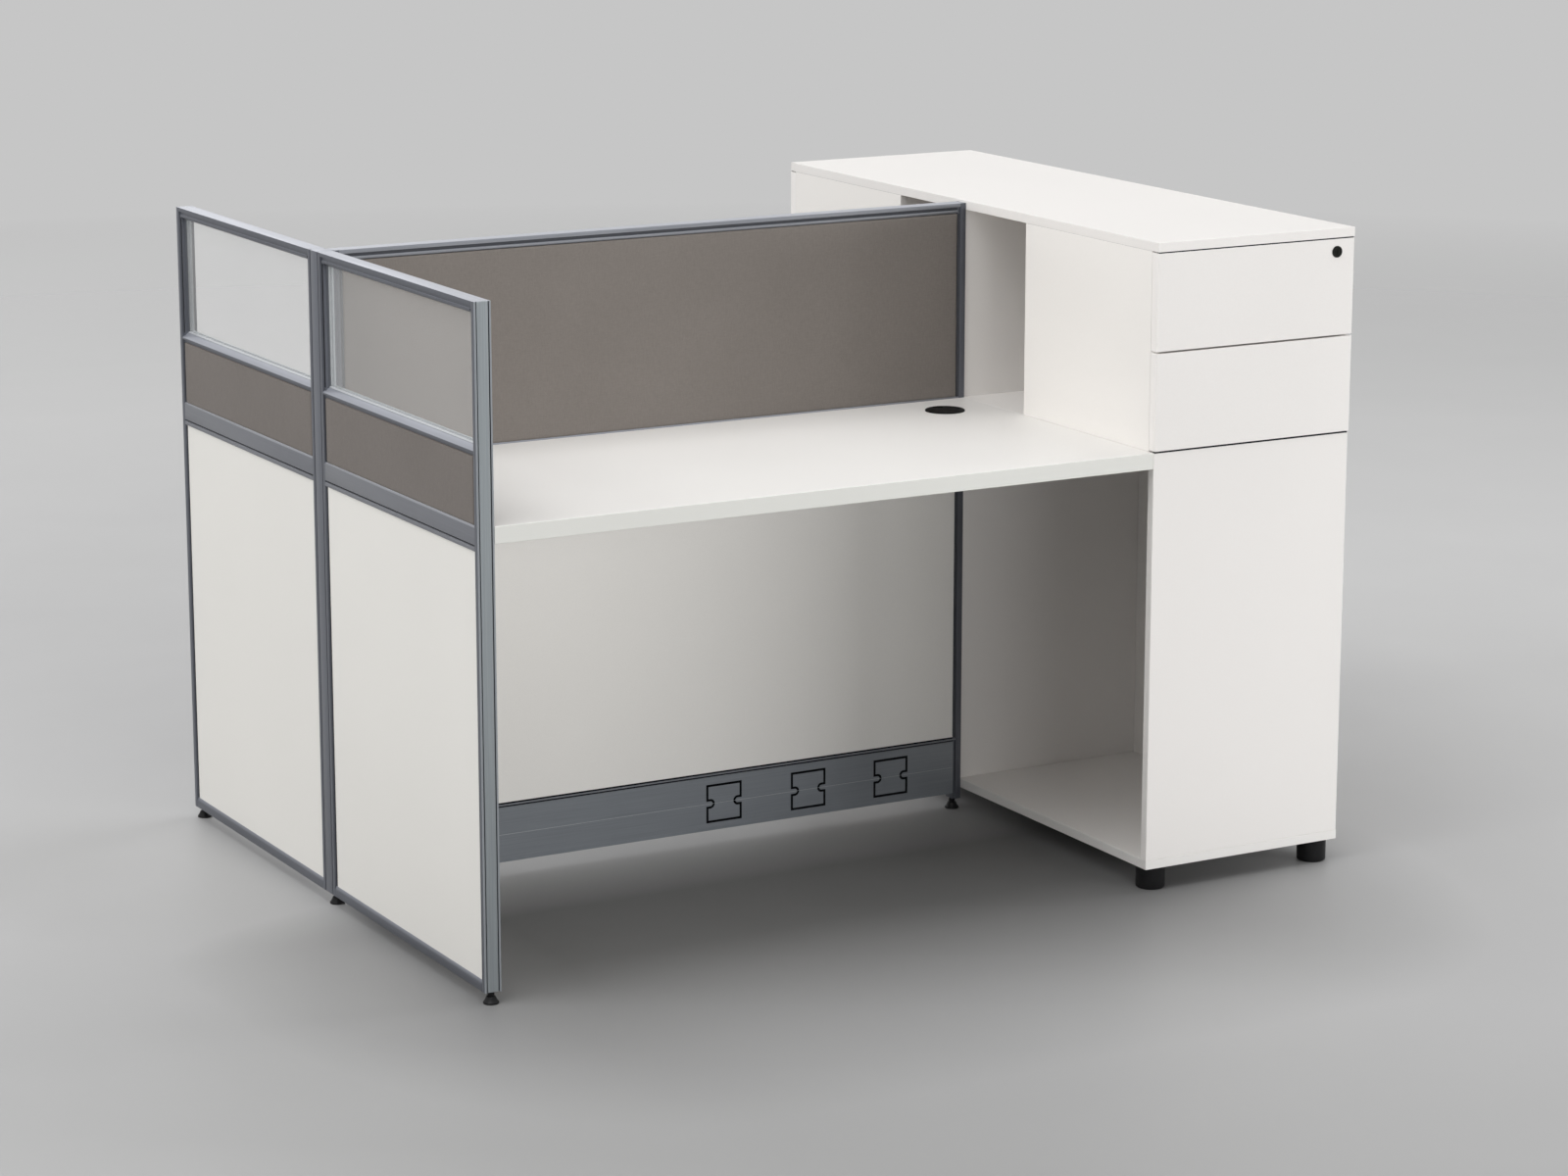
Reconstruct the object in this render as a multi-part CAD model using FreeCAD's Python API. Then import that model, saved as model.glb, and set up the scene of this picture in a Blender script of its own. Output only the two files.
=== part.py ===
import FreeCAD, Part
import math
import os

# Cubicle workstation: a side screen, a back screen, a desk and a double drawer tower.
# Millimetres. The origin is on the floor under the middle of the whole piece,
# X runs from the side screen to the tower, Y from the front user to the back, Z up.

os.makedirs("parts", exist_ok=True)

# Overall layout
screen_height = 1100.0
screen_thickness = 28.0
screen_half_length = 611.0
bay_width = 1198.0
desk_height = 755.0
desk_thickness = 27.0
tower_width = 395.0
tower_foot_height = 40.0
screen_foot_height = 20.0

# Boards
board = 16.0
board_round = 0.8
butt_gap = 0.3

# Frame members of the screens: faces, grooves and beads, seen from outside
stile_face = 11.0
stile_groove = 5.0
groove_depth = 3.5
post_reveal = 2.5
member_wall = 2.0
trim_lip = 3.0
trim_channel_depth = 3.0
trim_gap = 1.7
end_plug_height = 25.0
top_face = 6.5
top_groove = 5.5
top_bead = 3.5
bead_depth = 1.0
top_seat = 2.5
seat_depth = 5.0
waist_rise = 2.0
waist_ledge = 3.5
waist_face = 26.5
waist_groove = 3.0
waist_strip = 6.5
bottom_face = 12.0
bottom_ledge = 6.0
side_tile_height = 107.0
glass_ledge = 8.0
glass_rail_face = 3.0
glass_rail_groove = 5.0

# Infill of the screens
tile_thickness = 8.0
tile_recess = 1.5
tile_round = 1.6
panel_thickness = 8.0
panel_recess = 2.5
panel_round = 0.5
glass_thickness = 5.0
gasket_width = 12.0
gasket_lip = 4.0
gasket_bite = 2.0

# Raceway at the foot of the back screen
raceway_lift = 11.0
raceway_height = 104.0
fin_drop = 3.0
fin_thickness = 2.0
cover_drop = 7.5
cover_thickness = 1.5
cover_seam = 0.6
cover_lip = 6.0
clip_gap = 0.3
clip_leg = 1.6
clip_reach = 11.5
knockout_width = 69.0
knockout_height = 68.0
knockout_line = 3.0
knockout_depth = 0.8
knockout_notch_radius = 5.0
knockout_notch_reach = 12.5
knockout_spacing = 168.9
knockout_count = 3
knockout_end_distance = 146.8
cable_entry_length = 80.0
cable_entry_inset = 250.0

# Feet
glide_base_radius = 12.6
glide_base_height = 3.0
glide_cone_height = 9.0
glide_neck_radius = 6.0
glide_stud_radius = 4.0
glide_stud_length = 30.0
tower_foot_radius = 25.0
tower_foot_inset = 30.0
tower_foot_chamfer = 2.0
tower_stud_radius = 4.0
tower_stud_length = 12.0
stud_clearance = 0.05

# Desk
edge_band = 2.0
desk_end_gap = 0.5
desk_back_gap = 0.5
grommet_from_tower = 98.0
grommet_from_screen = 96.0
grommet_hole_radius = 30.0
grommet_flange_lap = 4.6
grommet_flange_rise = 2.5
grommet_wall = 2.3
grommet_depth = 20.0
grommet_fit = 0.2
cap_lap = 1.3
cap_thickness = 1.9
cap_clearance = 0.3
cap_lift = 0.1
cap_skirt = 2.0
cap_skirt_depth = 7.0
cap_notch_width = 18.0
cap_notch_depth = 14.0

# Steel angles and plates under the desk, and their screws
angle_leg = 28.0
angle_thickness = 3.0
angle_length = 120.0
joint_plate_length = 120.0
joint_plate_width = 40.0
joint_plate_inset = 90.0
screw_radius = 2.2
screw_length = 14.0
screw_head_radius = 4.5
screw_head_height = 2.5
screw_clearance = 0.05
screw_spacing = 80.0
tie_radius = 3.0
tie_clearance = 0.3
tie_head_radius = 4.2
tie_head_height = 4.0
tie_nut_height = 5.0
tie_over_foot = 160.0
tie_under_desk = 155.0
tie_under_top = 100.0

# Drawer tower
drawer_board = 18.0
drawer_pitch = 166.0
drawer_gap = 0.6
drawer_seam = 3.0
drawer_zone_rise = 1.0
front_side_reveal = 1.0
case_depth = 385.0
drawers_per_user = 2
box_side_gap = 12.7
box_wall = 12.0
box_rise = 20.0
box_cam_gap = 5.0
box_back_gap = 24.0
box_bottom = 4.0
box_bottom_rise = 8.0
runner_height = 45.0
runner_wall = 1.5
runner_end_gap = 4.0
runner_setback = 20.0
runner_depth = 9.0
slide_depth = 8.2
slide_clearance = 0.4

# Lock and lock bar of each upper drawer
lock_from_side = 36.3
lock_drop = 23.5
lock_flange_radius = 9.8
lock_flange = 2.0
lock_barrel_radius = 8.0
lock_clearance = 0.1
lock_tail = 3.0
cam_radius = 11.0
cam_thickness = 2.0
cam_pin_radius = 2.0
cam_pin_throw = 8.0
cam_pin_length = 6.0
key_slot_width = 1.6
key_slot_height = 8.0
key_slot_depth = 1.2
bar_thickness = 3.0
bar_width = 14.0
bar_setback = 3.0
bar_wall_gap = 0.3
driver_setback = 2.0
driver_thickness = 2.0
driver_margin = 3.0
driver_play = 0.5
slot_margin = 1.6
hook_reach = 6.2
hook_height = 10.0
hook_drop = 6.0
catch_radius = 3.0
catch_length = 7.7
catch_drop = 12.0
catch_clearance = 10.0
catch_setback = 25.0
guide_height = 8.0
guide_wall = 0.9
guide_foot = 2.6
guide_gap = 0.35
guide_hook_gap = 5.0

overrun = 5.0

# Places worked out from the layout
half_thickness = screen_thickness / 2
overall_width = screen_thickness + bay_width + tower_width
side_outer_x = -overall_width / 2
side_inner_x = side_outer_x + screen_thickness
side_middle_x = side_outer_x + half_thickness
tower_left_x = side_inner_x + bay_width
tower_right_x = tower_left_x + tower_width
stile_depth = stile_face + stile_groove
core_half = half_thickness - groove_depth
top_rail_low = screen_height - top_face - top_groove - top_bead - top_seat
waist_top = desk_height + waist_rise
waist_groove_top = waist_top - waist_ledge - waist_face
waist_low = waist_groove_top - waist_groove - waist_strip
bottom_rail_top = screen_foot_height + bottom_face + bottom_ledge
glass_rail_low = waist_top + side_tile_height
glass_rail_top = glass_rail_low + glass_rail_groove + glass_rail_face + glass_ledge
raceway_bottom = screen_foot_height + raceway_lift
raceway_top = raceway_bottom + raceway_height
trim_channel_width = screen_thickness - 2 * trim_lip
trim_width = trim_channel_width - 2 * trim_gap
desk_front_y = screen_half_length
carcass_front_y = desk_front_y - board
tower_half_depth = carcass_front_y + drawer_gap + drawer_board
desk_underside = desk_height - desk_thickness
tower_floor = tower_foot_height + board
side_inner_wall_x = tower_right_x - board
case_inner_left_x = tower_left_x + board
drawer_zone_low = desk_height + drawer_zone_rise
tower_ceiling = drawer_zone_low + drawer_pitch * drawers_per_user
tower_height = tower_ceiling + board
section_end_y = screen_half_length - stile_depth
section_inner_y = half_thickness + stile_depth
stud_inset = (trim_channel_depth + stile_depth) / 2
grommet_flange_radius = grommet_hole_radius + grommet_flange_lap
cap_radius = grommet_hole_radius + cap_lap
tie_heights = (
    screen_foot_height + tie_over_foot,
    desk_height - tie_under_desk,
    screen_height - tie_under_top,
)


def vec(x, y, z):
    return FreeCAD.Vector(x, y, z)


def block(x0, x1, y0, y1, z0, z1):
    return Part.makeBox(x1 - x0, y1 - y0, z1 - z0, vec(x0, y0, z0))


def rounded(x0, x1, y0, y1, z0, z1, radius):
    """A board with every edge slightly eased."""
    shape = block(x0, x1, y0, y1, z0, z1)
    return shape.makeFillet(radius, shape.Edges)


def rod(x, y, z, radius, length, direction):
    return Part.makeCylinder(radius, length, vec(x, y, z), direction)


def mirrored(shape):
    """The same piece for the rear user."""
    return shape.mirror(vec(0, 0, 0), vec(0, 1, 0))


def both_users(shapes):
    return list(shapes) + [mirrored(shape) for shape in shapes]


def save(name, shapes):
    solids = shapes if isinstance(shapes, list) else [shapes]
    pieces = [solid for shape in solids for solid in shape.Solids]
    result = pieces[0] if len(pieces) == 1 else Part.makeCompound(pieces)
    result.exportStep("parts/" + name + ".step")


def along_y(outline, start, end):
    """Sweeps a symmetric outline of (half thickness, height) points along the side screen."""
    near = [vec(side_middle_x + t, start, z) for t, z in outline]
    far = [vec(side_middle_x - t, start, z) for t, z in reversed(outline)]
    ring = near + far + near[:1]
    return Part.Face(Part.makePolygon(ring)).extrude(vec(0, end - start, 0))


def along_x(outline, start, end):
    """Sweeps a symmetric outline of (half thickness, height) points along the back screen."""
    near = [vec(start, t, z) for t, z in outline]
    far = [vec(start, -t, z) for t, z in reversed(outline)]
    ring = near + far + near[:1]
    return Part.Face(Part.makePolygon(ring)).extrude(vec(end - start, 0, 0))


# Outlines of the rails, from top to bottom, as half thickness and height
top_rail_outline = (
    (half_thickness, screen_height),
    (half_thickness, screen_height - top_face),
    (core_half, screen_height - top_face),
    (core_half, screen_height - top_face - top_groove),
    (half_thickness - bead_depth, screen_height - top_face - top_groove),
    (half_thickness - bead_depth, top_rail_low + top_seat),
    (half_thickness - seat_depth, top_rail_low + top_seat),
    (half_thickness - seat_depth, top_rail_low),
)
glass_rail_outline = (
    (gasket_width / 2, glass_rail_top),
    (half_thickness, glass_rail_top - glass_ledge),
    (half_thickness, glass_rail_top - glass_ledge - glass_rail_face),
    (core_half, glass_rail_top - glass_ledge - glass_rail_face),
    (core_half, glass_rail_low),
)
waist_rail_outline = (
    (half_thickness - tile_recess, waist_top),
    (half_thickness, waist_top - waist_ledge),
    (half_thickness, waist_groove_top),
    (core_half, waist_groove_top),
    (core_half, waist_groove_top - waist_groove),
    (half_thickness, waist_groove_top - waist_groove),
    (half_thickness, waist_low),
)
bottom_rail_outline = (
    (half_thickness - panel_recess, bottom_rail_top),
    (half_thickness, bottom_rail_top - bottom_ledge),
    (half_thickness, screen_foot_height),
)
fin_top = raceway_top - fin_drop
raceway_rail_low = raceway_top - cover_drop
raceway_rail_outline = (
    (core_half, raceway_top),
    (core_half, fin_top),
    (half_thickness, fin_top),
    (half_thickness, fin_top - fin_thickness),
    (core_half, fin_top - fin_thickness),
    (core_half, raceway_rail_low),
)


def rail(sweep, outline, start, end, wings):
    """A hollow rail between two stiles, whose face runs on over the groove of each stile."""
    top = outline[0][1]
    low = outline[-1][1]
    shape = sweep(outline, start - stile_groove, end + stile_groove)
    core = ((core_half + butt_gap, top + overrun), (core_half + butt_gap, low - overrun))
    full = half_thickness + overrun
    above = ((full, top + overrun), (full, wings[0]))
    below = ((full, wings[1]), (full, low - overrun))
    cut_from = (start - stile_groove - overrun, end)
    cut_to = (start, end + stile_groove + overrun)
    for a, b in zip(cut_from, cut_to):
        for outline_cut in (core, above, below):
            shape = shape.cut(sweep(outline_cut, a, b))
    hollow_half = min(point[0] for point in outline) - member_wall
    hollow = ((hollow_half, top - member_wall), (hollow_half, low + member_wall))
    return shape.cut(sweep(hollow, start - overrun, end + overrun))


def side_rail(outline, wings):
    """One rail of the front section of the side screen."""
    return rail(along_y, outline, -section_end_y, -section_inner_y, wings)


top_wings = (screen_height, screen_height - top_face)
glass_wings = (glass_rail_top, glass_rail_top - glass_ledge - glass_rail_face)
waist_wings = (waist_top, waist_low)
bottom_wings = (bottom_rail_top, screen_foot_height)
raceway_wings = (fin_top, fin_top - fin_thickness)
back_start_x = side_inner_x + stile_depth
back_end_x = tower_left_x - stile_depth


def upright(reveal, with_foot):
    """A stile along Y from 0 inward, centred on X: outer lips, trim channel, core and hollow."""
    low = screen_foot_height
    high = screen_height
    face = block(-half_thickness, half_thickness, reveal, stile_face, low, high)
    core = block(-core_half, core_half, 0, stile_depth, low, high)
    shape = face.fuse(core)
    channel_half = trim_channel_width / 2
    if reveal == 0:
        side = stile_face
        lips = block(-half_thickness, half_thickness, 0, side, low, high)
        shape = shape.fuse(lips)
        shape = shape.cut(
            block(-channel_half, channel_half, -overrun, trim_channel_depth, low - overrun, high + overrun)
        )
    hollow_start = trim_channel_depth + member_wall
    hollow_low = low + end_plug_height if with_foot else low - overrun
    hollow_half = core_half - member_wall
    hollow = block(
        -hollow_half, hollow_half, hollow_start, stile_depth - member_wall, hollow_low, high - member_wall
    )
    shape = shape.cut(hollow)
    if with_foot:
        bore = rod(0, stud_inset, low - overrun, glide_stud_radius + stud_clearance,
                   end_plug_height + 2 * overrun, vec(0, 0, 1))
        shape = shape.cut(bore)
    return shape.removeSplitter()


def placed(shape, x, y, angle):
    """Turns a stile about Z and moves it to its place in the plan."""
    copy = shape.copy()
    copy.rotate(vec(0, 0, 0), vec(0, 0, 1), angle)
    copy.translate(vec(x, y, 0))
    return copy


def tie_holes(shape):
    """Clearance holes for the bolts that tie a stile to the middle post."""
    for z in tie_heights:
        for x, y, direction in tie_places:
            hole = rod(x, y, z, tie_radius + tie_clearance, tie_span, direction)
            shape = shape.cut(hole)
    return shape


tie_span = 2 * (member_wall + trim_channel_depth + member_wall)
tie_places = (
    (side_middle_x, -half_thickness + tie_span / 2, vec(0, -1, 0)),
    (side_middle_x, half_thickness - tie_span / 2, vec(0, 1, 0)),
    (side_inner_x - tie_span / 2, 0, vec(1, 0, 0)),
)


def screens_frame():
    end_stile = upright(0, True)
    inner_stile = upright(post_reveal, False)
    front_end = placed(end_stile, side_middle_x, -screen_half_length, 0)
    front_inner = tie_holes(placed(inner_stile, side_middle_x, -half_thickness, 180))
    save("side_front_end_stile", front_end)
    save("side_rear_end_stile", mirrored(front_end))
    save("side_front_inner_stile", front_inner)
    save("side_rear_inner_stile", mirrored(front_inner))
    save("back_left_stile", tie_holes(placed(inner_stile, side_inner_x, 0, -90)))
    save("back_right_stile", placed(end_stile, tower_left_x, 0, 90))

    post = block(side_outer_x, side_inner_x, -half_thickness, half_thickness,
                 screen_foot_height, screen_height)
    inner = half_thickness - member_wall
    post = post.cut(block(side_middle_x - inner, side_middle_x + inner, -inner, inner,
                          screen_foot_height + end_plug_height, screen_height - member_wall))
    bore_length = end_plug_height + 2 * overrun
    post = post.cut(rod(side_middle_x, 0, screen_foot_height - overrun,
                        glide_stud_radius + stud_clearance, bore_length, vec(0, 0, 1)))
    save("middle_post", tie_holes(post))

    top = side_rail(top_rail_outline, top_wings)
    save("side_front_top_rail", top)
    save("side_rear_top_rail", mirrored(top))
    save("side_glass_rails", both_users([side_rail(glass_rail_outline, glass_wings)]))
    save("side_waist_rails", both_users([side_rail(waist_rail_outline, waist_wings)]))
    save("side_bottom_rails", both_users([side_rail(bottom_rail_outline, bottom_wings)]))
    save("back_top_rail", rail(along_x, top_rail_outline, back_start_x, back_end_x, top_wings))
    save("back_waist_rail", rail(along_x, waist_rail_outline, back_start_x, back_end_x, waist_wings))


def end_trim():
    """The snap-in cover strip of an end stile, standing along Y from 0."""
    half = trim_width / 2
    return block(-half, half, 0, trim_channel_depth, screen_foot_height, screen_height)


def trims():
    front = placed(end_trim(), side_middle_x, -screen_half_length, 0)
    back = placed(end_trim(), tower_left_x, 0, 90)
    save("end_trims", [front, mirrored(front), back])


def skin(recess, thickness, start, end, low, high, radius, sweep):
    """The two infill boards of one bay of a screen, one on each side."""
    outer = half_thickness - recess
    inner = outer - thickness
    made = []
    for a, b in ((inner, outer), (-outer, -inner)):
        if sweep is along_y:
            made.append(rounded(side_middle_x + a, side_middle_x + b, start, end, low, high, radius))
        else:
            made.append(rounded(start, end, a, b, low, high, radius))
    return made


def screens_infill():
    start = -section_end_y + butt_gap
    end = -section_inner_y - butt_gap
    tiles = skin(tile_recess, tile_thickness, start, end,
                 waist_top, glass_rail_low - butt_gap, tile_round, along_y)
    save("side_fabric_tiles", both_users(tiles))
    panels = skin(panel_recess, panel_thickness, start, end,
                  bottom_rail_top, waist_low - butt_gap, panel_round, along_y)
    save("side_lower_panels", both_users(panels))
    start = back_start_x + butt_gap
    end = back_end_x - butt_gap
    save("back_fabric_tiles", skin(tile_recess, tile_thickness, start, end,
                                   waist_top, top_rail_low - butt_gap, tile_round, along_x))
    save("back_lower_panels", skin(panel_recess, panel_thickness, start, end,
                                   raceway_top, waist_low - butt_gap, panel_round, along_x))


def glazing():
    """The pane and its gasket in the front section of the side screen, and their mirror images."""
    y0, y1 = -section_end_y, -section_inner_y
    z0, z1 = glass_rail_top, top_rail_low
    half = gasket_width / 2
    pane_half = glass_thickness / 2
    inset = gasket_lip - gasket_bite
    pane = block(side_middle_x - pane_half, side_middle_x + pane_half,
                 y0 + inset, y1 - inset, z0 + inset, z1 - inset)
    ring = block(side_middle_x - half, side_middle_x + half, y0, y1, z0, z1)
    hole = block(side_middle_x - half - overrun, side_middle_x + half + overrun,
                 y0 + gasket_lip, y1 - gasket_lip, z0 + gasket_lip, z1 - gasket_lip)
    gasket = ring.cut(hole).cut(pane)
    save("side_front_glass", pane)
    save("side_rear_glass", mirrored(pane))
    save("glass_gaskets", both_users([gasket]))


def knockout_grooves():
    """Outlines of the outlet knockouts, engraved in both faces of the raceway covers."""
    middle_z = (raceway_bottom + raceway_rail_low) / 2
    depth = knockout_depth + overrun
    grooves = []
    for i in range(knockout_count):
        x = tower_left_x - knockout_end_distance - i * knockout_spacing
        plates = []
        for shrink in (0, knockout_line):
            half_w = knockout_width / 2 - shrink
            half_h = knockout_height / 2 - shrink
            y = half_thickness - knockout_depth
            plate = block(x - half_w, x + half_w, y, y + depth, middle_z - half_h, middle_z + half_h)
            radius = knockout_notch_radius + shrink
            for side in (-1, 1):
                edge = x + side * knockout_width / 2
                bottom = edge - side * (knockout_notch_reach - knockout_notch_radius)
                x0, x1 = sorted((bottom, edge + side * overrun))
                slot = block(x0, x1, y - overrun, y + depth + overrun,
                             middle_z - radius, middle_z + radius)
                end = rod(bottom, y - overrun, middle_z, radius, depth + 2 * overrun, vec(0, 1, 0))
                plate = plate.cut([slot, end])
            plates.append(plate)
        grooves.append(plates[0].cut(plates[1]))
    return both_users(grooves)


def raceway():
    leg_outer = half_thickness - cover_thickness - clip_gap
    leg_inner = leg_outer - clip_leg
    rail_part = rail(along_x, raceway_rail_outline, back_start_x, back_end_x, raceway_wings)
    legs = []
    tray = []
    for side in (-1, 1):
        a, b = sorted((side * leg_inner, side * leg_outer))
        legs.append(block(back_start_x, back_end_x, a, b,
                          raceway_rail_low - clip_reach, fin_top - fin_thickness))
        tray.append(block(back_start_x, back_end_x, a, b,
                          raceway_bottom, raceway_bottom + member_wall + clip_reach))
    save("back_bottom_rail", rail_part.fuse(legs).removeSplitter())
    entry_far = cable_entry_inset + cable_entry_length
    floor_starts = (back_start_x, back_start_x + entry_far, back_end_x - cable_entry_inset)
    floor_ends = (back_start_x + cable_entry_inset, back_end_x - entry_far, back_end_x)
    for a, b in zip(floor_starts, floor_ends):
        tray.append(block(a, b, -leg_inner, leg_inner, raceway_bottom, raceway_bottom + member_wall))
    save("raceway_tray", tray)

    middle_z = (raceway_bottom + raceway_rail_low) / 2
    start = back_start_x + butt_gap
    end = back_end_x - butt_gap
    inner = half_thickness - cover_thickness
    upper = block(start, end, inner, half_thickness, middle_z + cover_seam / 2, raceway_rail_low)
    lower = block(start, end, inner, half_thickness, raceway_bottom, middle_z - cover_seam / 2)
    lip_outer = inner - clip_gap
    lip = block(start, end, lip_outer - clip_leg, lip_outer,
                middle_z - cover_lip, middle_z + cover_lip)
    bridge = block(start, end, lip_outer - clip_leg, inner + clip_gap,
                   middle_z - cover_lip, middle_z - cover_lip / 2)
    lower = lower.fuse([lip, bridge])
    grooves = knockout_grooves()
    uppers = [shape.cut(grooves) for shape in (upper, mirrored(upper))]
    lowers = [shape.cut(grooves) for shape in (lower, mirrored(lower))]
    save("raceway_upper_covers", uppers)
    save("raceway_lower_covers", [shape.removeSplitter() for shape in lowers])


def glide():
    """A levelling glide of a screen, standing on the origin."""
    top_of_cone = glide_base_height + glide_cone_height
    stud_top = screen_foot_height + glide_stud_length
    outline = (
        (0, 0), (glide_base_radius, 0), (glide_base_radius, glide_base_height),
        (glide_neck_radius, top_of_cone), (glide_neck_radius, screen_foot_height),
        (glide_stud_radius, screen_foot_height), (glide_stud_radius, stud_top), (0, stud_top),
    )
    ring = [vec(r, 0, z) for r, z in outline]
    face = Part.Face(Part.makePolygon(ring + ring[:1]))
    return face.revolve(vec(0, 0, 0), vec(0, 0, 1), 360)


def feet():
    end_y = screen_half_length - stud_inset
    places = (
        (side_middle_x, -end_y), (side_middle_x, 0), (side_middle_x, end_y),
        (tower_left_x - stud_inset, 0),
    )
    save("screen_feet", [placed(glide(), x, y, 0) for x, y in places])
    made = []
    for x, y in tower_foot_places():
        foot = rod(x, y, 0, tower_foot_radius, tower_foot_height, vec(0, 0, 1))
        edges = [edge for edge in foot.Edges if edge.BoundBox.ZMax < tower_foot_height / 2]
        foot = foot.makeChamfer(tower_foot_chamfer, edges)
        stud = rod(x, y, tower_foot_height, tower_stud_radius, tower_stud_length, vec(0, 0, 1))
        made.append(foot.fuse(stud))
    save("tower_feet", made)


def tower_foot_places():
    y = desk_front_y - tower_foot_inset
    xs = (tower_left_x + tower_foot_inset, tower_right_x - tower_foot_inset)
    return [(x, side * y) for x in xs for side in (-1, 1)]


grommet_x = tower_left_x - grommet_from_tower
grommet_y = -half_thickness - grommet_from_screen


def desk():
    x0 = side_inner_x + desk_end_gap
    x1 = tower_left_x - desk_end_gap
    back = -half_thickness - desk_back_gap
    top = rounded(x0, x1, -desk_front_y + edge_band, back, desk_underside, desk_height, board_round)
    hole = rod(grommet_x, grommet_y, desk_underside - overrun, grommet_hole_radius,
               desk_thickness + 2 * overrun, vec(0, 0, 1))
    top = top.cut([hole] + screw_bores())
    save("desk_top", top)
    band = rounded(x0, x1, -desk_front_y, -desk_front_y + edge_band,
                   desk_underside, desk_height, board_round)
    save("desk_edge_band", band)


def grommet():
    up = vec(0, 0, 1)
    flange_top = desk_height + grommet_flange_rise
    outer = grommet_hole_radius - grommet_fit
    inner = outer - grommet_wall
    ledge_z = flange_top - cap_thickness - cap_lift
    sleeve = rod(grommet_x, grommet_y, desk_height, grommet_flange_radius, grommet_flange_rise, up)
    sleeve = sleeve.fuse(rod(grommet_x, grommet_y, desk_height - grommet_depth, outer, grommet_depth, up))
    sleeve = sleeve.cut(rod(grommet_x, grommet_y, ledge_z, cap_radius + cap_clearance,
                            cap_thickness + overrun, up))
    bore_length = grommet_depth + grommet_flange_rise + 2 * overrun
    sleeve = sleeve.cut(rod(grommet_x, grommet_y, desk_height - grommet_depth - overrun, inner,
                            bore_length, up))
    save("grommet_sleeve", sleeve)

    disc_z = ledge_z + cap_lift
    skirt_outer = inner - cap_clearance
    cap = rod(grommet_x, grommet_y, disc_z, cap_radius, cap_thickness, up)
    skirt = rod(grommet_x, grommet_y, disc_z - cap_skirt_depth, skirt_outer, cap_skirt_depth, up)
    skirt = skirt.cut(rod(grommet_x, grommet_y, disc_z - cap_skirt_depth - overrun,
                          skirt_outer - cap_skirt, cap_skirt_depth + overrun, up))
    notch = block(grommet_x - cap_notch_width / 2, grommet_x + cap_notch_width / 2,
                  grommet_y + cap_radius - cap_notch_depth, grommet_y + cap_radius + overrun,
                  disc_z - cap_skirt_depth - overrun, disc_z + cap_thickness + overrun)
    save("grommet_cap", cap.fuse(skirt).cut(notch))


def side_angle_places():
    """Middle of each steel angle along the side screen."""
    run = desk_front_y - half_thickness
    return [-half_thickness - run / 4, -half_thickness - run * 3 / 4]


def back_angle_places():
    """Middle of each steel angle along the back screen."""
    return [side_inner_x + bay_width / 4, side_inner_x + bay_width * 3 / 4]


def plate_places():
    return [-desk_front_y + joint_plate_inset, -half_thickness - joint_plate_inset]


def screw_places():
    """Plan position of every screw driven up into the desk and the tower deck."""
    half = screw_spacing / 2
    middle = angle_leg / 2
    places = []
    for y in side_angle_places():
        places += [(side_inner_x + desk_end_gap + middle, y + s * half) for s in (-1, 1)]
    for x in back_angle_places():
        places += [(x + s * half, -half_thickness - desk_back_gap - middle) for s in (-1, 1)]
    for y in plate_places():
        places += [(tower_left_x + s * half, y) for s in (-1, 1)]
    return places


def screw_bores():
    bores = []
    low = desk_underside - angle_thickness - overrun
    for x, y in screw_places():
        length = angle_thickness + overrun + screw_length
        bores.append(rod(x, y, low, screw_radius + screw_clearance, length, vec(0, 0, 1)))
    return bores


def angle_along_y(y):
    """A steel angle against the side screen, its flat leg under the desk."""
    y0, y1 = y - angle_length / 2, y + angle_length / 2
    top = desk_underside
    flat = block(side_inner_x, side_inner_x + angle_leg, y0, y1, top - angle_thickness, top)
    leg = block(side_inner_x, side_inner_x + angle_thickness, y0, y1, top - angle_leg, top)
    return flat.fuse(leg).removeSplitter()


def angle_along_x(x):
    x0, x1 = x - angle_length / 2, x + angle_length / 2
    top = desk_underside
    face = -half_thickness
    flat = block(x0, x1, face - angle_leg, face, top - angle_thickness, top)
    leg = block(x0, x1, face - angle_thickness, face, top - angle_leg, top)
    return flat.fuse(leg).removeSplitter()


def desk_hardware():
    pieces = [angle_along_y(y) for y in side_angle_places()]
    pieces += [angle_along_x(x) for x in back_angle_places()]
    half_length = joint_plate_length / 2
    half_width = joint_plate_width / 2
    for y in plate_places():
        pieces.append(block(tower_left_x - half_length, tower_left_x + half_length,
                            y - half_width, y + half_width,
                            desk_underside - angle_thickness, desk_underside))
    save("desk_brackets", [piece.cut(screw_bores()) for piece in pieces])

    made = []
    head_z = desk_underside - angle_thickness
    for x, y in screw_places():
        shank = rod(x, y, head_z, screw_radius, screw_length, vec(0, 0, 1))
        head = rod(x, y, head_z - screw_head_height, screw_head_radius, screw_head_height, vec(0, 0, 1))
        made.append(shank.fuse(head))
    for z in tie_heights:
        for x, y, direction in tie_places:
            start = vec(x, y, z) + direction * (tie_span / 2 - member_wall - tie_nut_height)
            grip = 2 * member_wall + trim_channel_depth
            nut = Part.makeCylinder(tie_head_radius, tie_nut_height, start, direction)
            shank_start = start + direction * tie_nut_height
            shank = Part.makeCylinder(tie_radius, grip, shank_start, direction)
            head_start = shank_start + direction * grip
            head = Part.makeCylinder(tie_head_radius, tie_head_height, head_start, direction)
            made.append(nut.fuse([shank, head]))
    save("fasteners", made)


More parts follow.
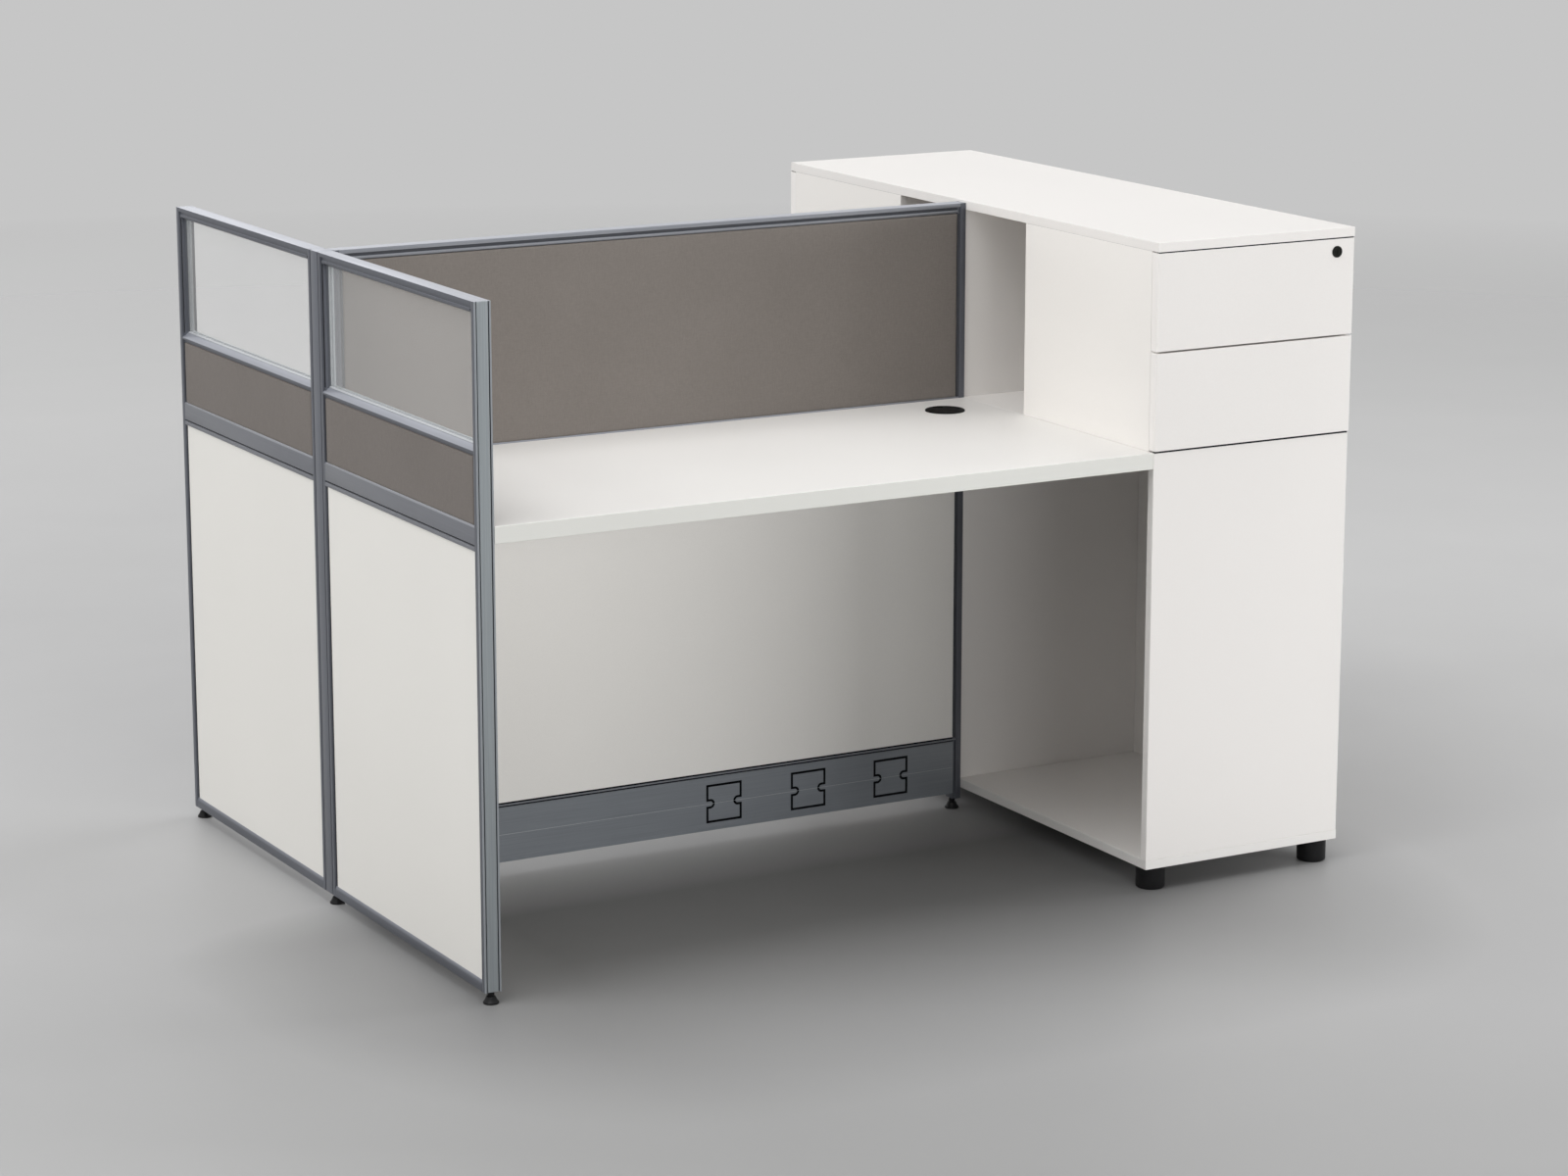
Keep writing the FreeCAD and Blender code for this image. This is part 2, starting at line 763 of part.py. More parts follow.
def tower_boards():
    left, right = tower_left_x, tower_right_x
    front = carcass_front_y
    save("tower_top", rounded(left, right, -tower_half_depth, tower_half_depth,
                              tower_ceiling, tower_height, board_round))
    base = rounded(left, right, -desk_front_y, desk_front_y,
                   tower_foot_height, tower_floor, board_round)
    bores = [rod(x, y, tower_foot_height - overrun, tower_stud_radius + stud_clearance,
                 tower_stud_length + overrun, vec(0, 0, 1)) for x, y in tower_foot_places()]
    save("tower_bottom", base.cut(bores))
    save("tower_right_side", rounded(side_inner_wall_x, right, -front, front,
                                     tower_floor, tower_ceiling, board_round))
    half = board / 2
    save("tower_centre_divider", rounded(left, side_inner_wall_x, -half, half,
                                         tower_floor, tower_ceiling, board_round))
    deck = rounded(left, side_inner_wall_x, -front, -half, desk_underside, desk_height, board_round)
    save("tower_decks", [deck.cut(screw_bores()), mirrored(deck)])
    low = rounded(left, right - front_side_reveal, -desk_front_y, -front,
                  tower_floor, drawer_zone_low - drawer_seam / 2, board_round)
    save("front_lower_panel", low)
    save("rear_lower_panel", mirrored(low))
    case_rear = -front + case_depth
    case_side = rounded(left, case_inner_left_x, -front, case_rear,
                        desk_height, tower_ceiling, board_round)
    case_back = rounded(case_inner_left_x, side_inner_wall_x, case_rear - board, case_rear,
                        desk_height, tower_ceiling, board_round)
    save("drawer_case_panels", both_users([case_side, case_back]))


box_left_x = case_inner_left_x + box_side_gap
box_right_x = side_inner_wall_x - box_side_gap
front_back_y = -carcass_front_y - drawer_gap
case_end_y = -carcass_front_y + case_depth - board
box_end_y = case_end_y - box_back_gap
box_headroom = lock_drop + cam_radius + box_cam_gap - drawer_seam / 2
box_height = drawer_pitch - drawer_seam - box_rise - box_headroom
runner_rise = (box_height - catch_drop - catch_radius - catch_clearance) / 2


def front_low(level):
    return drawer_zone_low + level * drawer_pitch + drawer_seam / 2


def box_low(level):
    return front_low(level) + box_rise


def runner_middle(level):
    return box_low(level) + runner_rise


def drawer_front(level):
    high = drawer_zone_low + (level + 1) * drawer_pitch - drawer_seam / 2
    shape = rounded(tower_left_x, tower_right_x - front_side_reveal, -tower_half_depth,
                    front_back_y, front_low(level), high, board_round)
    if level == drawers_per_user - 1:
        bore = rod(lock_x, -tower_half_depth - overrun, lock_z, lock_barrel_radius + lock_clearance,
                   drawer_board + 2 * overrun, vec(0, 1, 0))
        shape = shape.cut(bore)
    return shape


def drawer_box(level):
    """Four walls and a thin bottom let in between them, as separate boards."""
    low = box_low(level)
    high = low + box_height
    y0 = front_back_y
    y1 = box_end_y
    inner_left = box_left_x + box_wall
    inner_right = box_right_x - box_wall
    base = low + box_bottom_rise
    return [
        block(box_left_x, inner_left, y0, y1, low, high),
        block(inner_right, box_right_x, y0, y1, low, high),
        block(inner_left, inner_right, y0, y0 + box_wall, low, high),
        block(inner_left, inner_right, y1 - box_wall, y1, low, high),
        block(inner_left, inner_right, y0 + box_wall, y1 - box_wall, base, base + box_bottom),
    ]


def channel(x_web, direction, depth, half_height, y0, y1, z):
    """A C section along Y: a web at x_web and two flanges towards the given side."""
    a, b = sorted((x_web, x_web + direction * depth))
    shape = block(a, b, y0, y1, z - half_height, z + half_height)
    c, d = sorted((x_web + direction * runner_wall, x_web + direction * (depth + overrun)))
    inner = half_height - runner_wall
    return shape.cut(block(c, d, y0 - overrun, y1 + overrun, z - inner, z + inner))


runner_start_y = -carcass_front_y + runner_setback


def fixed_runners(level):
    y0 = runner_start_y
    y1 = case_end_y - runner_end_gap
    z = runner_middle(level)
    half = runner_height / 2
    return [
        channel(case_inner_left_x, 1, runner_depth, half, y0, y1, z),
        channel(side_inner_wall_x, -1, runner_depth, half, y0, y1, z),
    ]


def drawer_slides(level):
    """The moving members on the box, and the lug that the lock bar catches."""
    y0 = runner_start_y
    y1 = box_end_y
    z = runner_middle(level)
    half = runner_height / 2 - runner_wall - slide_clearance
    catch_z = box_low(level) + box_height - catch_drop
    return [
        channel(box_left_x, -1, slide_depth, half, y0, y1, z),
        channel(box_right_x, 1, slide_depth, half, y0, y1, z),
        rod(box_right_x, catch_y, catch_z, catch_radius, catch_length, vec(1, 0, 0)),
    ]


lock_x = tower_right_x - lock_from_side
lock_z = tower_ceiling - lock_drop
catch_y = -carcass_front_y + catch_setback + catch_radius
bar_lift = math.sqrt(2) * cam_pin_throw
pin_x = lock_x + cam_pin_throw / math.sqrt(2)
pin_z = lock_z - cam_pin_throw / math.sqrt(2)
cam_back_y = front_back_y + lock_tail + cam_thickness


def lock():
    """Cylinder, flange, cam and cam pin, turning as one about the barrel."""
    back = vec(0, 1, 0)
    face_y = -tower_half_depth - lock_flange
    flange = rod(lock_x, face_y, lock_z, lock_flange_radius, lock_flange, back)
    flange = flange.makeFillet(lock_flange / 4, [edge for edge in flange.Edges
                                                 if edge.BoundBox.YMax < face_y + lock_flange / 2])
    barrel_length = lock_flange + drawer_board + lock_tail
    barrel = rod(lock_x, face_y, lock_z, lock_barrel_radius, barrel_length, back)
    cam = rod(lock_x, cam_back_y - cam_thickness, lock_z, cam_radius, cam_thickness, back)
    pin = rod(pin_x, cam_back_y, pin_z, cam_pin_radius, cam_pin_length, back)
    slot = block(lock_x - key_slot_width / 2, lock_x + key_slot_width / 2,
                 face_y - overrun, face_y + key_slot_depth,
                 lock_z - key_slot_height / 2, lock_z + key_slot_height / 2)
    return barrel.fuse([flange, cam, pin]).cut(slot)


bar_right_x = side_inner_wall_x - bar_wall_gap
bar_left_x = bar_right_x - bar_thickness
bar_y0 = -carcass_front_y + bar_setback
bar_y1 = bar_y0 + bar_width


def hook_tops():
    return [box_low(level) + box_height - catch_drop - hook_drop for level in range(drawers_per_user)]


def lock_bar():
    """A flat bar with a hook under the lug of each drawer and a slotted driver at the cam."""
    hook_top = hook_tops()
    driver_y = cam_back_y + driver_setback
    slot_half = cam_pin_radius + driver_play
    driver_half = slot_half + driver_margin
    shape = block(bar_left_x, bar_right_x, bar_y0, bar_y1, hook_top[0] - hook_height, pin_z + driver_half)
    for top in hook_top:
        shape = shape.fuse(block(bar_left_x - hook_reach, bar_left_x, bar_y0, bar_y1,
                                 top - hook_height, top))
    slot_left = pin_x - cam_pin_radius - driver_play - slot_margin
    slot_right = lock_x + cam_pin_throw + cam_pin_radius + driver_play + slot_margin
    driver = block(slot_left - driver_margin, bar_left_x, driver_y, driver_y + driver_thickness,
                   pin_z - driver_half, pin_z + driver_half)
    slot = block(slot_left, slot_right, driver_y - overrun, driver_y + driver_thickness + overrun,
                 pin_z - slot_half, pin_z + slot_half)
    return shape.fuse(driver).cut(slot).removeSplitter()


def bar_guides():
    """Two small clips that hold the lock bar against the side board."""
    inner_x = bar_left_x - guide_gap
    y0 = bar_y0 - guide_gap
    y1 = bar_y1 + guide_gap
    made = []
    for low in guide_lows():
        high = low + guide_height
        outer = block(inner_x - guide_wall, side_inner_wall_x, y0 - guide_foot, y1 + guide_foot, low, high)
        gap = block(inner_x, side_inner_wall_x + overrun, y0, y1, low - overrun, high + overrun)
        made.append(outer.cut(gap))
    return made


def guide_lows():
    """Just under each hook of the lock bar."""
    return [top - hook_height - guide_hook_gap - guide_height for top in hook_tops()]


def drawers():
    level_names = ("lower", "upper")
    runners = []
    for level, level_name in enumerate(level_names):
        runners += fixed_runners(level)
        parts = (
            ("drawer_front", [drawer_front(level)]),
            ("drawer_box", drawer_box(level)),
            ("drawer_slides", drawer_slides(level)),
        )
        for part_name, shapes in parts:
            save(level_name + "_front_" + part_name, shapes)
            save(level_name + "_rear_" + part_name, [mirrored(shape) for shape in shapes])
    save("fixed_runners", both_users(runners))
    save("front_lock", lock())
    save("rear_lock", mirrored(lock()))
    save("front_lock_bar", lock_bar())
    save("rear_lock_bar", mirrored(lock_bar()))
    save("lock_bar_guides", both_users(bar_guides()))


screens_frame()
trims()
screens_infill()
glazing()
raceway()
feet()
desk()
grommet()
desk_hardware()
tower_boards()
drawers()
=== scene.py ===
import math
import bpy
import bmesh
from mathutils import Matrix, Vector


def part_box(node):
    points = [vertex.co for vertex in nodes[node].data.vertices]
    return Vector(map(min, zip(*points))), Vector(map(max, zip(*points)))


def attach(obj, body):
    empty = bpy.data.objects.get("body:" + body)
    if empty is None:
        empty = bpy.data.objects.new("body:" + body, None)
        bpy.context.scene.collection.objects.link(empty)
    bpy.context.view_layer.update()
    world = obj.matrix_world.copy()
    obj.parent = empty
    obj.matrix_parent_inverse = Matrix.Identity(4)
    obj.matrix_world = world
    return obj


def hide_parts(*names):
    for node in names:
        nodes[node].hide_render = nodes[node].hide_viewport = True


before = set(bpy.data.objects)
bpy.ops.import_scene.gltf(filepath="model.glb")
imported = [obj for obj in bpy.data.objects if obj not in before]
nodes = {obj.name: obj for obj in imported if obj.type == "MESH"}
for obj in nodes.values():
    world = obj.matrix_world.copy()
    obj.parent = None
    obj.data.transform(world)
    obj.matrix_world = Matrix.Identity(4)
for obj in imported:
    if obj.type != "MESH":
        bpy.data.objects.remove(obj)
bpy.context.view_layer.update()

# Cubicle workstation: finishes, fine detail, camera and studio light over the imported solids.
# Blender works in metres, in the frame of the solids. Shapes are drawn in millimetres.

MM = 0.001

SIDES = (-1, 1)
USERS = {"front": -1, "rear": 1}
DRAWERS = [level + "_" + user + "_drawer" for level in ("lower", "upper") for user in USERS]

# Places shared with the solids, in millimetres
SIDE_X = -796.5
SCREEN_END = 611.0
STILE_INNER, STILE_OUTER = 30.0, 595.0
TILE_LOW, GLASS_LOW, GLASS_HIGH = 757.0, 880.0, 1082.0
TOWER_LEFT, TOWER_FRONT = 415.5, 613.6
DESK_TOP = 755.0
COVER_LINE = 79.25

# Degrees between two faces from which their edge counts as an arris
ARRIS = 40


# ---------------------------------------------------------------- finishes

def tone(red, green, blue):
    """A colour given as it reads on screen, 0 to 255, as a shader colour."""
    def plain(value):
        value /= 255
        return value / 12.92 if value <= 0.04045 else ((value + 0.055) / 1.055) ** 2.4
    return (plain(red), plain(green), plain(blue), 1.0)


class Finish:
    """A node material built on the object's own coordinates."""

    def __init__(self, name, **sockets):
        self.material = bpy.data.materials.new(name)
        self.material.use_nodes = True
        self.tree = self.material.node_tree
        self.shader = self.tree.nodes["Principled BSDF"]
        for key, value in sockets.items():
            self.shader.inputs[key.replace("_", " ")].default_value = value
        coordinates = self.tree.nodes.new("ShaderNodeTexCoord")
        self.place = coordinates.outputs["Object"]
        self.facing = coordinates.outputs["Normal"]

    def socket(self, holder, key, value):
        if isinstance(value, bpy.types.NodeSocket):
            self.tree.links.new(value, holder.inputs[key])
        elif value is not None:
            holder.inputs[key].default_value = value

    def math(self, operation, a, b=None, c=None):
        node = self.tree.nodes.new("ShaderNodeMath")
        node.operation = operation
        for index, value in enumerate((a, b, c)):
            self.socket(node, index, value)
        return node.outputs[0]

    def split(self, vector):
        node = self.tree.nodes.new("ShaderNodeSeparateXYZ")
        self.socket(node, 0, vector)
        return node.outputs

    def stretched(self, scale):
        node = self.tree.nodes.new("ShaderNodeMapping")
        self.socket(node, "Vector", self.place)
        node.inputs["Scale"].default_value = scale
        return node.outputs[0]

    def noise(self, size, detail=3.0, rough=0.5, stretch=(1, 1, 1)):
        """Cloudy values round 0.5 whose blotches are about size metres across."""
        node = self.tree.nodes.new("ShaderNodeTexNoise")
        self.socket(node, "Vector", self.stretched(stretch))
        node.inputs["Scale"].default_value = 1 / size
        node.inputs["Detail"].default_value = detail
        node.inputs["Roughness"].default_value = rough
        return node.outputs["Fac"]

    def remap(self, value, low, high, start=0.3, stop=0.7):
        node = self.tree.nodes.new("ShaderNodeMapRange")
        self.socket(node, "Value", value)
        node.inputs["From Min"].default_value = start
        node.inputs["From Max"].default_value = stop
        node.inputs["To Min"].default_value = low
        node.inputs["To Max"].default_value = high
        return node.outputs[0]

    def mix(self, factor, a, b, blend="MIX"):
        node = self.tree.nodes.new("ShaderNodeMix")
        node.data_type = "RGBA"
        node.blend_type = blend
        self.socket(node, "Factor", factor)
        self.socket(node, 6, a)
        self.socket(node, 7, b)
        return node.outputs[2]

    def dimmed(self, colour, level):
        """The colour times a level that varies over the surface."""
        grey = self.tree.nodes.new("ShaderNodeCombineColor")
        for index in range(3):
            self.socket(grey, index, level)
        return self.mix(1.0, colour, grey.outputs[0], "MULTIPLY")

    def bump(self, height, distance, strength=1.0):
        node = self.tree.nodes.new("ShaderNodeBump")
        self.socket(node, "Height", height)
        node.inputs["Distance"].default_value = distance
        node.inputs["Strength"].default_value = strength
        return node.outputs[0]

    def set(self, key, value):
        self.socket(self.shader, key, value)


def extruded(name, axis, light, dark, top_highlight=None, lip_highlight=None, metallic=0.5):
    """Anodised extrusion with fine draw lines along an axis, with a painted highlight on upward
    faces and on the end lips.
    """
    made = Finish(name, Metallic=metallic)
    along = [70.0, 70.0, 70.0]
    along[axis] = 1.0
    lines = made.noise(0.16, 4.0, 0.62, tuple(along))
    clouds = made.noise(0.35, 2.0)
    grain = made.noise(0.0006, 2.0, 0.6)
    base = made.mix(made.remap(lines, 0.0, 1.0), dark, light)
    # Painted highlight: faces that look upward are mixed toward a lighter colour, as tops catch
    # light.
    if top_highlight:
        upward_highlight_mask = made.split(made.facing)[2]
        base = made.mix(made.remap(upward_highlight_mask, 0.0, 1.0, 0.2, 0.75), base, top_highlight)
    # Painted highlight: within about two millimetres of the screen ends, the stiles' end lips are
    # mixed toward a lighter colour.
    if lip_highlight:
        outer = made.math("ABSOLUTE", made.split(made.place)[1])
        lip_highlight_mask = made.remap(outer, 0.0, 1.0, (SCREEN_END - 2) * MM, (SCREEN_END - 1) * MM)
        base = made.mix(lip_highlight_mask, base, lip_highlight)
    made.set("Base Color", made.dimmed(base, made.remap(clouds, 0.95, 1.04)))
    made.set("Roughness", made.remap(lines, 0.30, 0.42))
    both = made.math("ADD", made.math("MULTIPLY", lines, 0.6), made.math("MULTIPLY", grain, 0.4))
    made.set("Normal", made.bump(both, 0.06 * MM, 0.35))
    return made.material


def laminate(name, face, edge, axis, rough=0.42, speckle=0.02):
    """Melamine faced board: a very fine pearl on the faces and plastic band on the edges."""
    made = Finish(name)
    made.shader.inputs["Specular IOR Level"].default_value = 0.42
    flat = made.math("ABSOLUTE", made.split(made.facing)[axis])
    banded = made.math("LESS_THAN", flat, 0.75)
    clouds = made.noise(0.5, 2.0)
    fine = made.noise(0.0016, 3.0, 0.65)
    drift = made.remap(clouds, 0.985, 1.012)
    dust = made.remap(fine, 1.0 - speckle, 1.0 + speckle * 0.6)
    base = made.mix(banded, face, edge)
    made.set("Base Color", made.dimmed(base, made.math("MULTIPLY", drift, dust)))
    pearl = made.remap(fine, rough - 0.05, rough + 0.07)
    made.set("Roughness", made.math("ADD", pearl, made.math("MULTIPLY", banded, -0.08)))
    pebble = made.noise(0.0011, 2.0, 0.5)
    made.set("Normal", made.bump(pebble, 0.03 * MM, 0.5))
    return made.material


def woven(name, warp, weft, deep):
    """Heathered acoustic cloth: plain weave 1.5 mm apart with uneven threads, painted shade in the
    gaps between threads and random darker blotches.
    """
    made = Finish(name, Sheen_Weight=0.18, Sheen_Roughness=0.45)
    made.shader.inputs["Specular IOR Level"].default_value = 0.2
    made.shader.inputs["Sheen Tint"].default_value = (0.86, 0.84, 0.80, 1.0)
    x, y, z = made.split(made.place)
    uneven = made.math("SUBTRACT", made.noise(0.012, 2.0), 0.5)
    wobble = made.math("MULTIPLY", uneven, 0.9 * MM)
    across = made.math("ADD", made.math("ADD", x, y), wobble)
    up = made.math("ADD", z, wobble)
    turn = 2 * math.pi / (1.5 * MM)
    a = made.math("SINE", made.math("MULTIPLY", across, turn))
    b = made.math("SINE", made.math("MULTIPLY", up, turn))
    over = made.math("GREATER_THAN", made.math("MULTIPLY", a, b), 0.0)
    crown = made.math("MAXIMUM", made.math("ABSOLUTE", a), made.math("ABSOLUTE", b))
    threads_up = made.noise(0.010, 3.0, 0.7, (6, 6, 1))
    threads_across = made.noise(0.010, 3.0, 0.7, (1, 1, 7))
    heather = made.mix(made.remap(threads_up, 0.0, 1.0), warp, weft)
    second = made.mix(made.remap(threads_across, 0.0, 1.0), weft, warp)
    cloth = made.mix(over, heather, second)
    # Painted shade: in the gaps of the weave, away from the thread crowns, the cloth is mixed
    # toward the deep colour.
    cloth = made.mix(made.remap(crown, 0.45, 0.0, 0.35, 0.85), cloth, deep)
    cloth = made.mix(made.remap(made.noise(0.22, 2.0), 0.0, 0.14), cloth, deep)
    made.set("Base Color", cloth)
    made.set("Roughness", made.remap(threads_up, 0.78, 0.95))
    fuzz = made.noise(0.0005, 2.0, 0.7)
    height = made.math("ADD", made.math("MULTIPLY", crown, 0.75), made.math("MULTIPLY", fuzz, 0.35))
    made.set("Normal", made.bump(height, 0.25 * MM, 0.55))
    return made.material


def moulded(name, colour, lighter, rough, grain=0.9, depth=0.05, gloss=0.5):
    """Moulded plastic with a spark eroded grain, in millimetres, and faint handling marks."""
    made = Finish(name)
    made.shader.inputs["Specular IOR Level"].default_value = gloss
    fine = made.noise(grain * MM, 2.0, 0.6)
    marks = made.noise(0.02, 4.0, 0.6)
    made.set("Base Color", made.mix(made.remap(marks, 0.0, 1.0), colour, lighter))
    worn = made.remap(marks, rough - 0.05, rough + 0.08)
    made.set("Roughness", made.math("ADD", made.remap(fine, -0.05, 0.05), worn))
    made.set("Normal", made.bump(fine, depth * MM, 0.5))
    return made.material


def plated(name, light, dark, rough):
    """Zinc plated or burnished steel with faint blotches."""
    made = Finish(name, Metallic=1.0)
    blotch = made.noise(0.006, 4.0, 0.65)
    scratch = made.noise(0.004, 3.0, 0.6, (1, 14, 14))
    made.set("Base Color", made.mix(made.remap(blotch, 0.0, 1.0), dark, light))
    made.set("Roughness", made.remap(scratch, rough - 0.07, rough + 0.12))
    made.set("Normal", made.bump(scratch, 0.02 * MM, 0.4))
    return made.material


def glazed(name, thin, thick):
    """Clear float glass with a soft milky film, a little uneven."""
    made = Finish(name, IOR=1.5, Alpha=0.15)
    haze = made.noise(0.25, 2.0)
    made.set("Base Color", made.mix(made.remap(haze, 0.0, 1.0), thin, thick))
    made.set("Roughness", made.remap(haze, 0.03, 0.06))
    return made.material


# Painted highlight colour for the upward faces of the frame extrusions.
top_highlight = tone(164, 167, 176)
# All frame members are one anodised aluminium, toned per group to how lit each reads, as painted
# light and shade: the waist rails, post, stiles and side rails are darker than the back rails.
rail_x_finish = extruded("frame_metal_x", 0, tone(154, 157, 164), tone(142, 145, 152), top_highlight)
rail_y_shaded_finish = extruded("frame_metal_y", 1, tone(103, 106, 114), tone(93, 96, 103), top_highlight)
# Its last colour is the lighter painted highlight on the end lips.
stile_shaded_finish = extruded("frame_metal_z", 2, tone(107, 110, 118), tone(97, 100, 108), top_highlight,
                        tone(160, 165, 170))
# The third colour is the waist rails' painted highlight on their upward faces.
waist_shaded_finish = extruded("waist_metal_y", 1, tone(133, 135, 141), tone(124, 126, 132),
                        tone(190, 193, 200))
post_shaded_finish = extruded("post_metal_z", 2, tone(117, 120, 128), tone(107, 110, 117), top_highlight)
trim_finish = extruded("trim_metal_z", 2, tone(161, 168, 171), tone(150, 156, 160), metallic=0.4)
raceway_finish = extruded("raceway_metal_x", 0, tone(144, 149, 155), tone(135, 140, 146),
                          metallic=0.3)
# The third colour is the glazing beads' painted highlight on their upward faces.
bead_finish = extruded("glazing_bead", 1, tone(92, 95, 101), tone(84, 87, 93),
                       tone(196, 199, 203), metallic=0.3)

white_face, white_edge = tone(240, 237, 234), tone(238, 236, 233)
tower_x_finish, tower_y_finish, tower_z_finish = [
    laminate("tower_laminate_" + letter, white_face, white_edge, axis)
    for axis, letter in enumerate("xyz")]
# Copies of the same white melamine as painted light and shade: the tower top's upper face is toned
# darker than its edges and the other boards, and the case sides are toned lighter.
top_shaded_finish = laminate("tower_top_laminate", tone(231, 228, 225), tone(241, 238, 235), 2)
case_lit_finish = laminate("tower_case_laminate", tone(246, 243, 239), tone(240, 237, 234), 0)
front_finish = laminate("drawer_front_laminate", white_face, tone(247, 244, 241), 1)
board_finish = laminate("drawer_board_z", tone(236, 234, 231), tone(240, 239, 236), 2, 0.5)
side_panel_finish = laminate("panel_laminate_x", tone(234, 232, 227), tone(230, 228, 224),
                             0, 0.5, 0.03)
back_panel_finish = laminate("panel_laminate_y", tone(243, 241, 237), tone(236, 234, 230),
                             1, 0.5, 0.03)
desk_finish = laminate("desk_laminate_z", tone(238, 236, 233), tone(232, 232, 228),
                       2, 0.45, 0.025)
band_finish = laminate("edge_band_y", tone(229, 229, 224), tone(232, 232, 228), 1, 0.36, 0.015)

# The back and side tiles wear the same fabric; the back tiles' copy is toned lighter, as painted
# light.
back_cloth_lit_finish = woven("tile_fabric", tone(134, 128, 123), tone(121, 115, 110), tone(92, 87, 83))
side_cloth_finish = woven("side_tile_fabric", tone(125, 119, 115), tone(113, 107, 103),
                          tone(86, 81, 77))

gasket_finish = moulded("gasket_rubber", tone(156, 162, 166), tone(166, 171, 175), 0.5, 0.7, 0.03)
plastic_finish = moulded("black_plastic", tone(22, 22, 23), tone(28, 28, 29), 0.42, gloss=0.25)
grommet_finish = moulded("grommet_black", tone(13, 13, 13), tone(18, 18, 18), 0.46, gloss=0.12)
lock_finish = moulded("lock_black", tone(18, 19, 17), tone(26, 27, 24), 0.36, 0.6, 0.02, 0.2)
# Black painted shade filling the knockout grooves.
knockout_shade_finish = moulded("knockout_shade_black", tone(5, 6, 9), tone(9, 10, 13), 0.7, gloss=0.1)
# Dark and mid grey strips put in grooves and seams, as painted shade.
shade_strip_finish = moulded("shade_strip_black", tone(26, 27, 31), tone(34, 35, 39), 0.6, 0.8, 0.04, 0.2)
grey_shade_finish = moulded("stile_grey_shade", tone(66, 68, 73), tone(74, 76, 81), 0.55, gloss=0.3)
nylon_finish = moulded("stop_nylon", tone(58, 59, 61), tone(66, 67, 69), 0.45)
# Greyish painted shade for the joint between the tower's top and its sides.
joint_shade_finish = moulded("board_joint_shade", tone(196, 193, 190), tone(202, 199, 196), 0.5)
# Pale painted highlight along the joint between the raceway covers.
seam_highlight_finish = moulded("cover_seam_highlight", tone(182, 185, 190), tone(192, 195, 199), 0.45)

steel_finish = plated("plated_steel", tone(205, 206, 208), tone(176, 178, 182), 0.32)
glass_finish = glazed("clear_glass", tone(235, 236, 235), tone(240, 240, 239))

STILES = ("side_front_end_stile", "side_rear_end_stile", "side_front_inner_stile",
          "side_rear_inner_stile", "back_left_stile", "back_right_stile")
SIDE_RAILS = ("side_front_top_rail", "side_rear_top_rail", "side_glass_rails",
              "side_bottom_rails")
BACK_RAILS = ("back_top_rail", "back_waist_rail", "back_bottom_rail")


def dress(finish, *names):
    for name in names:
        mesh = nodes[name].data
        mesh.materials.clear()
        mesh.materials.append(finish)


dress(stile_shaded_finish, *STILES)
dress(post_shaded_finish, "middle_post")
dress(rail_y_shaded_finish, *SIDE_RAILS)
dress(waist_shaded_finish, "side_waist_rails")
dress(rail_x_finish, *BACK_RAILS)
dress(trim_finish, "end_trims")
dress(raceway_finish, "raceway_tray", "raceway_upper_covers", "raceway_lower_covers")
dress(glass_finish, "side_front_glass", "side_rear_glass")
dress(gasket_finish, "glass_gaskets")
dress(back_cloth_lit_finish, "side_fabric_tiles", "back_fabric_tiles")
dress(side_panel_finish, "side_lower_panels")
dress(back_panel_finish, "back_lower_panels")
dress(desk_finish, "desk_top")
dress(band_finish, "desk_edge_band")
dress(steel_finish, "desk_brackets", "fasteners", "fixed_runners", "lock_bar_guides",
      "front_lock_bar", "rear_lock_bar", *[drawer + "_slides" for drawer in DRAWERS])
dress(plastic_finish, "screen_feet", "tower_feet")
dress(grommet_finish, "grommet_sleeve", "grommet_cap")
dress(tower_z_finish, "tower_bottom", "tower_decks")
dress(top_shaded_finish, "tower_top")
dress(tower_x_finish, "tower_right_side")
dress(case_lit_finish, "drawer_case_panels")
dress(tower_y_finish, "tower_centre_divider")
dress(front_finish, "front_lower_panel", "rear_lower_panel",
      *[drawer + "_front" for drawer in DRAWERS])
dress(board_finish, *[drawer + "_box" for drawer in DRAWERS])
dress(lock_finish, "front_lock", "rear_lock")


# ---------------------------------------------------------------- mesh helpers

def axes_for(axis):
    w = Vector(axis).normalized()
    u = Vector((0, 1, 0)) if abs(w.x) > 0.9 else Vector((1, 0, 0))
    return u, w.cross(u).normalized(), w


def loft(shape, rows, closed=False):
    """Quads between rings of the same count, from the last back to the first when closed."""
    for low, high in zip(rows, rows[1:] + rows[:1] if closed else rows[1:]):
        for i in range(len(low)):
            j = (i + 1) % len(low)
            shape.faces.new((low[i], low[j], high[j], high[i]))


def turned(shape, profile, centre, axis=(0, 0, 1), steps=48, closed=False, turn=0.0):
    """A lathe form from (radius, height) points in millimetres along the axis."""
    u, v, w = axes_for(axis)
    rows = []
    for radius, height in profile:
        middle = Vector(centre) + w * (height * MM)
        row = []
        for i in range(steps if radius else 1):
            angle = turn + 2 * math.pi * i / steps
            arm = (u * math.cos(angle) + v * math.sin(angle)) * (radius * MM)
            row.append(shape.verts.new(middle + arm))
        rows.append(row)
    pairs = list(zip(rows, rows[1:]))
    if closed:
        pairs.append((rows[-1], rows[0]))
    for low, high in pairs:
        for i in range(steps):
            j = (i + 1) % steps
            quad = [low[i % len(low)], low[j % len(low)],
                    high[j % len(high)], high[i % len(high)]]
            corners = list(dict.fromkeys(quad))
            if len(corners) > 2:
                shape.faces.new(corners)


def prism(shape, ring, push):
    """A closed outline of points pushed along a vector."""
    low = [shape.verts.new(point) for point in ring]
    high = [shape.verts.new(point + push) for point in ring]
    shape.faces.new(list(reversed(low)))
    shape.faces.new(high)
    loft(shape, [low, high])


